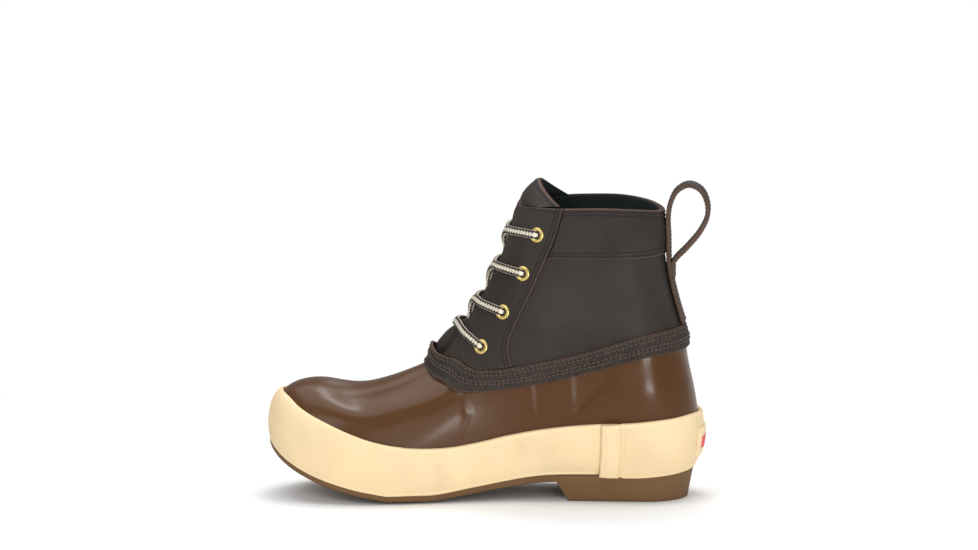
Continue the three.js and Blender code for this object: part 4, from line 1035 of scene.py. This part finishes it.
def makePullLoop(settings):
    half = settings["thickness"] / 2
    bandStart = boot["collarHeight"] - cuffShape["height"]

    def behind(z):
        z = np.asarray(z, float)
        gap = mix(boot["clearance"], 2 * boot["clearance"] + boot["overlayWall"], ease(bandStart - 8, bandStart - 2, z))
        return skin(np.zeros_like(z), levelAt(np.zeros_like(z), z, 1))[..., 0] + half + gap

    jointX = float(skin(0.0, levelAt(0.0, settings["joint"], 1))[0]) + boot["clearance"] + half
    foot = float(skin(0.0, 1.0)[2]) + randShape["height"] / 2 + 4 * boot["clearance"]
    legZ = np.linspace(foot, settings["joint"] - 2, 12)
    leg = np.stack([behind(legZ), legZ], -1)
    x = jointX + half + np.array(settings["out"]) * settings["depth"]
    z = settings["joint"] + np.array(settings["up"]) * settings["height"]
    rising = np.arange(len(x)) < 4
    x = np.where(rising & (z < boot["collarHeight"]),
                 np.maximum(x, behind(np.minimum(z, boot["collarHeight"] * 0.985))), x)
    loop = np.stack([x, z], -1)
    lying = jointX + settings["thickness"] * 1.02
    tail = [[lying + off, settings["joint"] - below] for off, below in settings["tail"]]
    loop = np.concatenate([loop[1:-1], tail])
    line = smoothLine(np.concatenate([leg, loop]), settings["steps"])
    along = unit(np.gradient(line, axis=0))
    normal = np.stack([along[:, 1], -along[:, 0]], -1)
    across = spaced(16, 0.07, 4)
    y = (across - 0.5) * settings["width"]
    gap = np.minimum(across, 1 - across)[None, :] * settings["width"]
    length = pathLength(line)[:, None]
    gap = np.minimum(np.broadcast_to(gap, (len(line), len(across))), np.minimum(length, length[-1] - length))
    sunk = settings["groove"] * np.exp(-((gap - settings["seam"]) / settings["grooveWidth"]) ** 2)
    depth = half * mix(0.5, 1, rounded(gap, settings["round"])) - sunk

    def face(sign):
        flat = line[:, None, :] + sign * normal[:, None, :] * depth[..., None]
        return stack(flat[..., 0], np.broadcast_to(y[None, :], depth.shape), flat[..., 1])

    outer, inner = face(1), face(-1)
    for grid in (outer, inner):
        for edge in ("low", "top"):
            seams.append((insetLine(grid, edge, settings["seam"], 2.0), "strap"))
    return shell("pullLoop", outer, inner, [leatherShaft] * 3, False, gap)


pullLoop = makePullLoop(loopShape)
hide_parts("pull_loop")
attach(pullLoop, "root")
print("pull loop made")


# Heel plate, plain, with a plain red bar

plateShape = {"width": 36, "height": 20, "thickness": 1.3, "rise": 30.5, "barWidth": 25, "barHeight": 8, "corner": 2.5,
              "barThickness": 0.4, "barCorner": 2.0}


def plateLayer(name, halfWidth, low, tall, depth, thick, corner, material):
    middle = low + tall / 2
    step = np.array([0.02])
    level = levelAt(step, middle, 0, 0.8)
    perTurn = abs(float(onSkin(step, level, np.array([boot["bandThickness"]]))[0, 1])) / step[0]
    v, u = spaced(20, 0.06, 4), spaced(40, 0.04, 4)
    height = low + tall * v
    fromEnd = np.minimum(v, 1 - v) * tall
    half = halfWidth - corner * (1 - rounded(fromEnd, corner))
    turn = (u[:, None] * 2 - 1) * half[None, :] / perTurn
    level = levelAt(turn, np.broadcast_to(height[None, :], turn.shape), 0, 0.8)
    gap = edgeGaps(skin(turn, level))
    body = thick * mix(0.3, 1, rounded(gap, 0.7))
    return shell(name, onSkin(turn, level, depth + body), onSkin(turn, level, np.full(turn.shape, depth)),
                 [material] * 3, False, gap)


def makeHeelPlate(settings):
    depth = 2 * boot["clearance"] + boot["bandThickness"]
    plate = plateLayer("heelPlate", settings["width"] / 2, settings["rise"], settings["height"], depth,
                       settings["thickness"], settings["corner"], rubberCream)
    low = settings["rise"] + (settings["height"] - settings["barHeight"]) / 2
    bar = plateLayer("heelBar", settings["barWidth"] / 2, low, settings["barHeight"], depth + settings["thickness"],
                     settings["barThickness"], settings["barCorner"], redPrint)
    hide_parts("heel_plate")
    for piece in (plate, bar):
        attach(piece, "root")


makeHeelPlate(plateShape)
print("heel plate made")


# Geometry Nodes: stitches along lines, and rings at points

def startTree(name, sockets):
    tree = bpy.data.node_groups.new(name, "GeometryNodeTree")
    tree.interface.new_socket("Geometry", in_out="INPUT", socket_type="NodeSocketGeometry")
    for label, kind in sockets:
        tree.interface.new_socket(label, in_out="INPUT", socket_type=kind)
    tree.interface.new_socket("Geometry", in_out="OUTPUT", socket_type="NodeSocketGeometry")
    return tree, tree.nodes.new("NodeGroupInput").outputs, tree.nodes.new("NodeGroupOutput").inputs


def finishTree(tree, inputs, outputs, instances):
    real = node(tree, "GeometryNodeRealizeInstances", {"Geometry": instances})
    smooth = node(tree, "GeometryNodeSetShadeSmooth", {"Geometry": real.outputs[0]})
    dressed = node(tree, "GeometryNodeSetMaterial", {"Geometry": smooth.outputs[0], "Material": inputs["Material"]})
    tree.links.new(dressed.outputs[0], outputs[0])


def stitchTree():
    sockets = [(label, "NodeSocketFloat") for label in ("Pitch", "Length", "Width", "Slant", "Jitter")]
    sockets += [("Seed", "NodeSocketInt"), ("Material", "NodeSocketMaterial")]
    tree, inputs, outputs = startTree("stitchTree", sockets)
    curve = node(tree, "GeometryNodeMeshToCurve", {"Mesh": inputs["Geometry"]})
    even = node(tree, "GeometryNodeResampleCurve", {"Curve": curve.outputs[0], "Length": inputs["Pitch"]},
                mode="LENGTH")
    bead = node(tree, "GeometryNodeMeshUVSphere", Segments=6, Rings=5, Radius=0.5)
    tangent = node(tree, "GeometryNodeInputTangent")
    turn = node(tree, "FunctionNodeAlignRotationToVector", {"Vector": tangent.outputs[0]}, axis="Z")
    low = math2(tree, "SUBTRACT", inputs["Slant"], inputs["Jitter"])
    high = math2(tree, "ADD", inputs["Slant"], inputs["Jitter"])
    random = node(tree, "FunctionNodeRandomValue", {"Seed": inputs["Seed"], 2: low, 3: high}, data_type="FLOAT")
    tilt = node(tree, "ShaderNodeCombineXYZ", {"X": random.outputs[1]})
    euler = node(tree, "FunctionNodeEulerToRotation", {"Euler": tilt.outputs[0]})
    turned = node(tree, "FunctionNodeRotateRotation", {"Rotation": turn.outputs[0], "Rotate By": euler.outputs[0]},
                  rotation_space="LOCAL")
    size = node(tree, "ShaderNodeCombineXYZ", {"X": inputs["Width"], "Y": inputs["Width"], "Z": inputs["Length"]})
    placed = node(tree, "GeometryNodeInstanceOnPoints", {
        "Points": even.outputs[0], "Instance": bead.outputs[0], "Rotation": turned.outputs[0],
        "Scale": size.outputs[0]})
    finishTree(tree, inputs, outputs, placed.outputs[0])
    return tree


def ringTree():
    tree, inputs, outputs = startTree("ringTree", [("Ring", "NodeSocketObject"), ("Material", "NodeSocketMaterial")])
    source = node(tree, "GeometryNodeObjectInfo", {"Object": inputs["Ring"]})
    facing = node(tree, "GeometryNodeInputNamedAttribute", data_type="FLOAT_VECTOR", Name="facing")
    turn = node(tree, "FunctionNodeAlignRotationToVector", {"Vector": facing.outputs[0]}, axis="Z")
    points = node(tree, "GeometryNodeMeshToPoints", {"Mesh": inputs["Geometry"]})
    placed = node(tree, "GeometryNodeInstanceOnPoints", {
        "Points": points.outputs[0], "Instance": source.outputs["Geometry"], "Rotation": turn.outputs[0]})
    finishTree(tree, inputs, outputs, placed.outputs[0])
    return tree


def grow(name, points, edges, tree, values, facing=None):  # runs a tree on a scratch mesh and keeps the plain result
    mesh = bpy.data.meshes.new(name + "Path")
    mesh.from_pydata((np.asarray(points) * 0.001).tolist(), edges, [])
    if facing is not None:
        attribute = mesh.attributes.new("facing", "FLOAT_VECTOR", "POINT")
        attribute.data.foreach_set("vector", facing.astype(np.float32).ravel())
    path = bpy.data.objects.new(name + "Path", mesh)
    bpy.context.scene.collection.objects.link(path)
    modifier = path.modifiers.new(name, "NODES")
    modifier.node_group = tree
    sockets = {item.name: item.identifier for item in tree.interface.items_tree if item.in_out == "INPUT"}
    for key, value in values.items():
        modifier[sockets[key]] = value
    path.update_tag()
    bpy.context.view_layer.update()
    evaluated = path.evaluated_get(bpy.context.evaluated_depsgraph_get())
    made = bpy.data.meshes.new_from_object(evaluated)
    made.name = name
    piece = bpy.data.objects.new(name, made)
    bpy.context.scene.collection.objects.link(piece)
    path.modifiers.remove(modifier)
    bpy.data.objects.remove(path)
    return piece


stitchLooks = {
    "rand": {"Pitch": 0.0032, "Length": 0.0024, "Width": 0.0012, "Slant": 0.3, "Jitter": 0.2, "Seed": 5,
             "Material": threadPale},
    "trim": {"Pitch": 0.0028, "Length": 0.0021, "Width": 0.0009, "Slant": 0.1, "Jitter": 0.1, "Seed": 7,
             "Material": threadBrown},
    "strap": {"Pitch": 0.0028, "Length": 0.0020, "Width": 0.0008, "Slant": 0.0, "Jitter": 0.08, "Seed": 9,
              "Material": threadBrown},
}


def makeStitches():
    tree = stitchTree()
    for kind, look in stitchLooks.items():
        points, edges = [], []
        for line, lineKind in seams:
            if lineKind == kind:
                edges += [(len(points) + k, len(points) + k + 1) for k in range(len(line) - 1)]
                points += list(line)
        piece = grow(kind + "Stitches", points, edges, tree, look)
        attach(piece, "root")


makeStitches()
print("stitches made")


# Eyelets

eyeletShape = {"outer": 5.3, "bore": 2.6, "roll": 0.95, "lift": 0.1, "barrel": 3.4, "segments": 36, "wall": 0.5,
               "sink": 0.3}


def eyeletPlaces(side):
    height = np.array([row["high"] for row in eyeletRows]) * boot["collarHeight"]
    front, back = throatTurn(side, height), eyestayTurn(side, height)
    xAt = [skin(turn, levelAt(turn, height, 0.6))[..., 0] for turn in (front, back)]
    x = mix(xAt[0], xAt[1], np.array([row["across"] for row in eyeletRows]))
    turn = turnWhere(side, height, lambda p: p[..., 0] > x)
    level = levelAt(turn, height, 0.6)
    point, normal = onSkin(turn, level, shaftRelief(turn, level)), skinNormal(turn, level)
    return [{"turn": turn[k], "height": height[k], "point": point[k], "normal": normal[k]} for k in range(len(height))]


places = {side: eyeletPlaces(side) for side in (-1, 1)}


def makeEyelets(settings):
    radius, bore, roll = settings["outer"], settings["bore"], settings["roll"]
    middle, half = (radius + bore) / 2, (radius - bore) / 2
    back, under = bore + settings["wall"], stayTop - settings["sink"]
    arc = np.linspace(0, math.pi, 9)
    profile = [(middle + half * math.cos(a), stayTop + settings["lift"] + roll * math.sin(a)) for a in arc]
    profile += [(bore, -settings["barrel"]), (back, -settings["barrel"]), (back, under), (radius, under)]
    count, rows = settings["segments"], len(profile)
    angle = np.arange(count) * 2 * math.pi / count
    r, z = np.array(profile).T
    vertices = stack(r[None, :] * np.cos(angle)[:, None], r[None, :] * np.sin(angle)[:, None],
                     np.broadcast_to(z[None, :], (count, rows)))
    faces = gridFaces(count, rows, True)
    ring = addPiece("eyeletRing", vertices.reshape(-1, 3), faces, np.zeros(len(faces), int), [brassRing])
    both = places[-1] + places[1]
    points, normals = np.array([p["point"] for p in both]), np.array([p["normal"] for p in both])
    piece = grow("eyelets", points, [], ringTree(), {"Ring": ring, "Material": brassRing}, normals)
    bpy.data.objects.remove(ring)
    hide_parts(*["eyelet_%s_%d" % (s, k) for s in ("inner", "outer") for k in (1, 2, 3, 4)])
    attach(piece, "root")


makeEyelets(eyeletShape)
print("eyelets made")


# Laces

# A strand's route across the throat: across (1 its own edge, -1 the other), rise, dip, height over the boot.
# Where it leaves an eyelet: distance out along the eyelet's axis, slide towards the throat.
laceShape = {
    "width": 5.9, "thickness": 3.6, "around": 24, "step": 0.7, "barRise": 11, "edgeRise": 0.62, "edgeShare": 0.6,
    "edgeLift": 0.45, "upWeight": 12, "endRound": 1.6, "blunt": 0.3,
    "leave": ((-4.5, 0.0), (-1.0, 0.1), (1.7, 0.8), (3.6, 2.8)),
    "over": ((0.97, 0.62, 0.08, 3.6), (0.5, 0.85, 0.3, 2.9), (0.0, 0.75, 0.52, 2.2), (-0.5, 0.35, 0.8, 0.9),
             (-0.93, 0, 1, -0.9), (-1.2, 0, 1.06, -3)),
    "under": ((0.97, 0.62, 0.08, 3.5), (0.5, 0.85, 0.3, 2.1), (0.0, 0.75, 0.52, 0.3), (-0.5, 0.35, 0.8, -0.2),
              (-0.93, 0, 1, -1.1), (-1.2, 0, 1.06, -3)),
}


def cord(points, ups, settings):
    length = pathLength(np.array(points))[-1]
    count = int(length / settings["step"]) + 2
    both = smoothLine(np.concatenate([points, np.array(ups) * settings["upWeight"]], 1), count)
    line, up = both[:, :3], both[:, 3:]
    along = unit(np.gradient(line, axis=0))
    across = unit(np.cross(up, along))
    up = unit(np.cross(along, across))
    angle = np.linspace(0, 2 * math.pi, settings["around"] + 1)
    ends = np.minimum(np.arange(count), np.arange(count)[::-1])
    size = rounded(ends * settings["step"] + settings["blunt"], settings["endRound"])[:, None, None]
    ring = (line[:, None, :] + size * (across[:, None, :] * np.cos(angle)[None, :, None] * settings["width"] / 2 +
                                       up[:, None, :] * np.sin(angle)[None, :, None] * settings["thickness"] / 2))
    return ring, pathLength(line)


def cordPiece(name, strands, settings):
    vertices, faces, uvs, start = [], [], [], 0
    n = settings["around"]
    for points, ups in strands:
        ring, along = cord(points, ups, settings)
        count = len(ring)
        i, j = np.meshgrid(np.arange(count - 1), np.arange(n), indexing="ij")
        i, j = i.ravel(), j.ravel()
        k = (j + 1) % n
        faces.append(np.stack([i * n + j, i * n + k, (i + 1) * n + k, (i + 1) * n + j], -1) + start)
        uv = [np.stack([along[a], b / n], -1) for a, b in ((i, j), (i, j + 1), (i + 1, j + 1), (i + 1, j))]
        uvs.append(np.stack(uv, 1).reshape(-1, 2))
        m = np.arange(n // 2 - 1)
        cap = np.stack([m, m + 1, n - 2 - m, n - 1 - m], -1)  # strips of quads close the ends
        for end, corners in ((0, cap[:, ::-1]), (count - 1, cap)):
            faces.append(corners + end * n + start)
            uvs.append(np.stack([np.full(corners.size, along[end]), corners.ravel() / n], -1))
        vertices.append(ring[:, :n].reshape(-1, 3))
        start += count * n
    return addPiece(name, np.concatenate(vertices), np.concatenate(faces), np.zeros(sum(map(len, faces)), int),
                    [cordBraid], np.concatenate(uvs))


def overThroat(across, height, out):
    turn = mix(throatTurn(-1, height), throatTurn(1, height), (across + 1) / 2)
    level = levelAt(turn, height, 0.6)
    return onSkin(turn, level, out + shaftRelief(turn, level)), skinNormal(turn, level)


def lyingHeight(settings):  # the middle of a cord that lies on the eyestays
    return stayTop + settings["thickness"] / 2


def overEdge(side, row, rise, settings):  # out of an eyelet and towards the eyestay's front edge
    place = places[side][row]
    height = place["height"] + rise
    edgeTurn = throatTurn(side, height)
    points, ups, n = [], [], place["normal"]
    toward = unit(skin(edgeTurn, levelAt(edgeTurn, height, 0.6)) - place["point"])
    for out, slide in settings["leave"]:
        points.append(place["point"] + n * out + toward * slide)
        ups.append(unit(mix(-toward, n, slide / settings["leave"][-1][1])))
    turn = mix(place["turn"], edgeTurn, settings["edgeShare"])
    level = levelAt(turn, place["height"] + rise * settings["edgeShare"], 0.6)
    points.append(onSkin(turn, level, lyingHeight(settings) + settings["edgeLift"] + shaftRelief(turn, level)))
    ups.append(skinNormal(turn, level))
    return points, ups


def makeLaces(settings):
    height = eyeletRows[0]["high"] * boot["collarHeight"] + settings["barRise"]
    near, nearUp = overEdge(-1, 0, settings["barRise"], settings)
    far, farUp = overEdge(1, 0, settings["barRise"], settings)
    over = [overThroat(k, height, lyingHeight(settings) + 0.1) for k in (-0.6, 0.0, 0.6)]
    bar = cordPiece("laceBar", [(near + [p for p, _ in over] + far[::-1],
                                 nearUp + [n for _, n in over] + farUp[::-1])], settings)
    laces = [(bar, "lace_bar")]
    for k in range(3):
        upper = eyeletRows[k + 1]
        high = upper["high"] * boot["collarHeight"]
        dip = upper["dip"] * (upper["high"] - eyeletRows[k]["high"]) * boot["collarHeight"]
        strands = []
        for side, route in ((-1, "over"), (1, "under")):
            points, ups = overEdge(side, k + 1, upper["rise"] * settings["edgeRise"], settings)
            for across, rising, dipping, out in settings[route]:
                p, n = overThroat(side * across, high + rising * upper["rise"] - dipping * dip, out)
                points.append(p)
                ups.append(n)
            strands.append((points, ups))
        laces.append((cordPiece("laceCross%d" % (k + 1), strands, settings), "lace_cross_%d" % (k + 1)))
    for piece, cadNode in laces:
        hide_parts(cadNode)
        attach(piece, "root")


makeLaces(laceShape)
print("laces made")


# Light, floor and camera

sceneSettings = {"azimuth": 4, "elevation": 9, "distance": 3.5, "target": (-0.0965, 0.0, 0.1544), "focalPixels": 5000,
                 "width": 978, "sensor": 36, "world": 0.4, "sky": (0.92, 0.97, 1, 1), "floorColor": (0.93, 0.93, 0.93),
                 "floor": 6.0, "floorSides": 96, "fade": (0.32, 0.6)}
lights = (  # name, place, aim, size, power
    ("key", (-1.1, -1.4, 1.3), (-0.15, 0, 0.08), (0.8, 0.8), 8),
    ("fill", (0.5, -2.6, 0.9), (-0.1, 0, 0.1), (2.2, 1.2), 13.5),
    ("side", (0.66, -1.72, 0.13), (0, 0, 0.09), (0.62, 0.26), 11),
    ("toe", (-0.16, 0.62, 1.75), (-0.2, 0, 0.07), (0.4, 0.3), 4),
    ("top", (-0.1, 0.3, 1.8), (-0.1, 0, 0), (2.4, 1.6), 28),
    ("back", (0.3, 1.6, 1.2), (-0.1, 0, 0.1), (1.0, 0.8), 4),
)


def makeCamera(settings):
    azimuth, elevation = math.radians(settings["azimuth"]), math.radians(settings["elevation"])
    target = Vector(settings["target"])
    back = Vector((math.sin(azimuth) * math.cos(elevation), -math.cos(azimuth) * math.cos(elevation),
                   math.sin(elevation)))
    camera = bpy.data.objects.new("camera", bpy.data.cameras.new("camera"))
    camera.location = target + back * settings["distance"]
    camera.rotation_euler = (-back).to_track_quat("-Z", "Y").to_euler()
    camera.data.sensor_width = settings["sensor"]
    camera.data.lens = settings["focalPixels"] * settings["sensor"] / settings["width"]
    camera.data.clip_end = 50
    bpy.context.scene.collection.objects.link(camera)
    bpy.context.scene.camera = camera


def makeLight(name, place, aim, size, power):
    light = bpy.data.lights.new(name, "AREA")
    light.shape = "RECTANGLE"
    light.size, light.size_y = size
    light.energy = power
    lamp = bpy.data.objects.new(name, light)
    lamp.location = place
    lamp.rotation_euler = (Vector(aim) - Vector(place)).to_track_quat("-Z", "Y").to_euler()
    bpy.context.scene.collection.objects.link(lamp)


def makeStudio(settings):
    world = bpy.data.worlds.new("studio")
    world.use_nodes = True
    tree = world.node_tree
    soft = tree.nodes["Background"]
    soft.inputs["Color"].default_value = settings["sky"]
    soft.inputs["Strength"].default_value = settings["world"]
    seen = node(tree, "ShaderNodeBackground", Color=(1, 1, 1, 1), Strength=1.0)
    path = node(tree, "ShaderNodeLightPath")
    both = node(tree, "ShaderNodeMixShader", {0: path.outputs["Is Camera Ray"], 1: soft.outputs[0], 2: seen.outputs[0]})
    tree.links.new(both.outputs[0], tree.nodes["World Output"].inputs[0])
    bpy.context.scene.world = world
    for row in lights:
        makeLight(*row)
    mesh = bpy.data.meshes.new("floor")
    sides = settings["floorSides"]
    rim = [(settings["floor"] * math.cos(a), settings["floor"] * math.sin(a), 0)
           for a in np.arange(sides) * 2 * math.pi / sides]
    mesh.from_pydata(rim, [], [tuple(range(sides))])
    floor = bpy.data.objects.new("floor", mesh)
    material, tree, shader = newMaterial("paleFloor", settings["floorColor"], 0.9, Specular_IOR_Level=0.0)
    away = node(tree, "ShaderNodeVectorMath", {"Vector": objectPlace(tree)}, operation="LENGTH").outputs["Value"]
    glow = node(tree, "ShaderNodeEmission", Strength=1.0)
    fade = node(tree, "ShaderNodeMixShader", {0: ramp(tree, away, *settings["fade"]), 1: shader.outputs[0],
                                              2: glow.outputs[0]})
    tree.links.new(fade.outputs[0], tree.nodes["Material Output"].inputs["Surface"])
    mesh.materials.append(material)
    bpy.context.scene.collection.objects.link(floor)
    bpy.context.scene.view_settings.view_transform = "Standard"


makeCamera(sceneSettings)
makeStudio(sceneSettings)
print("studio made")
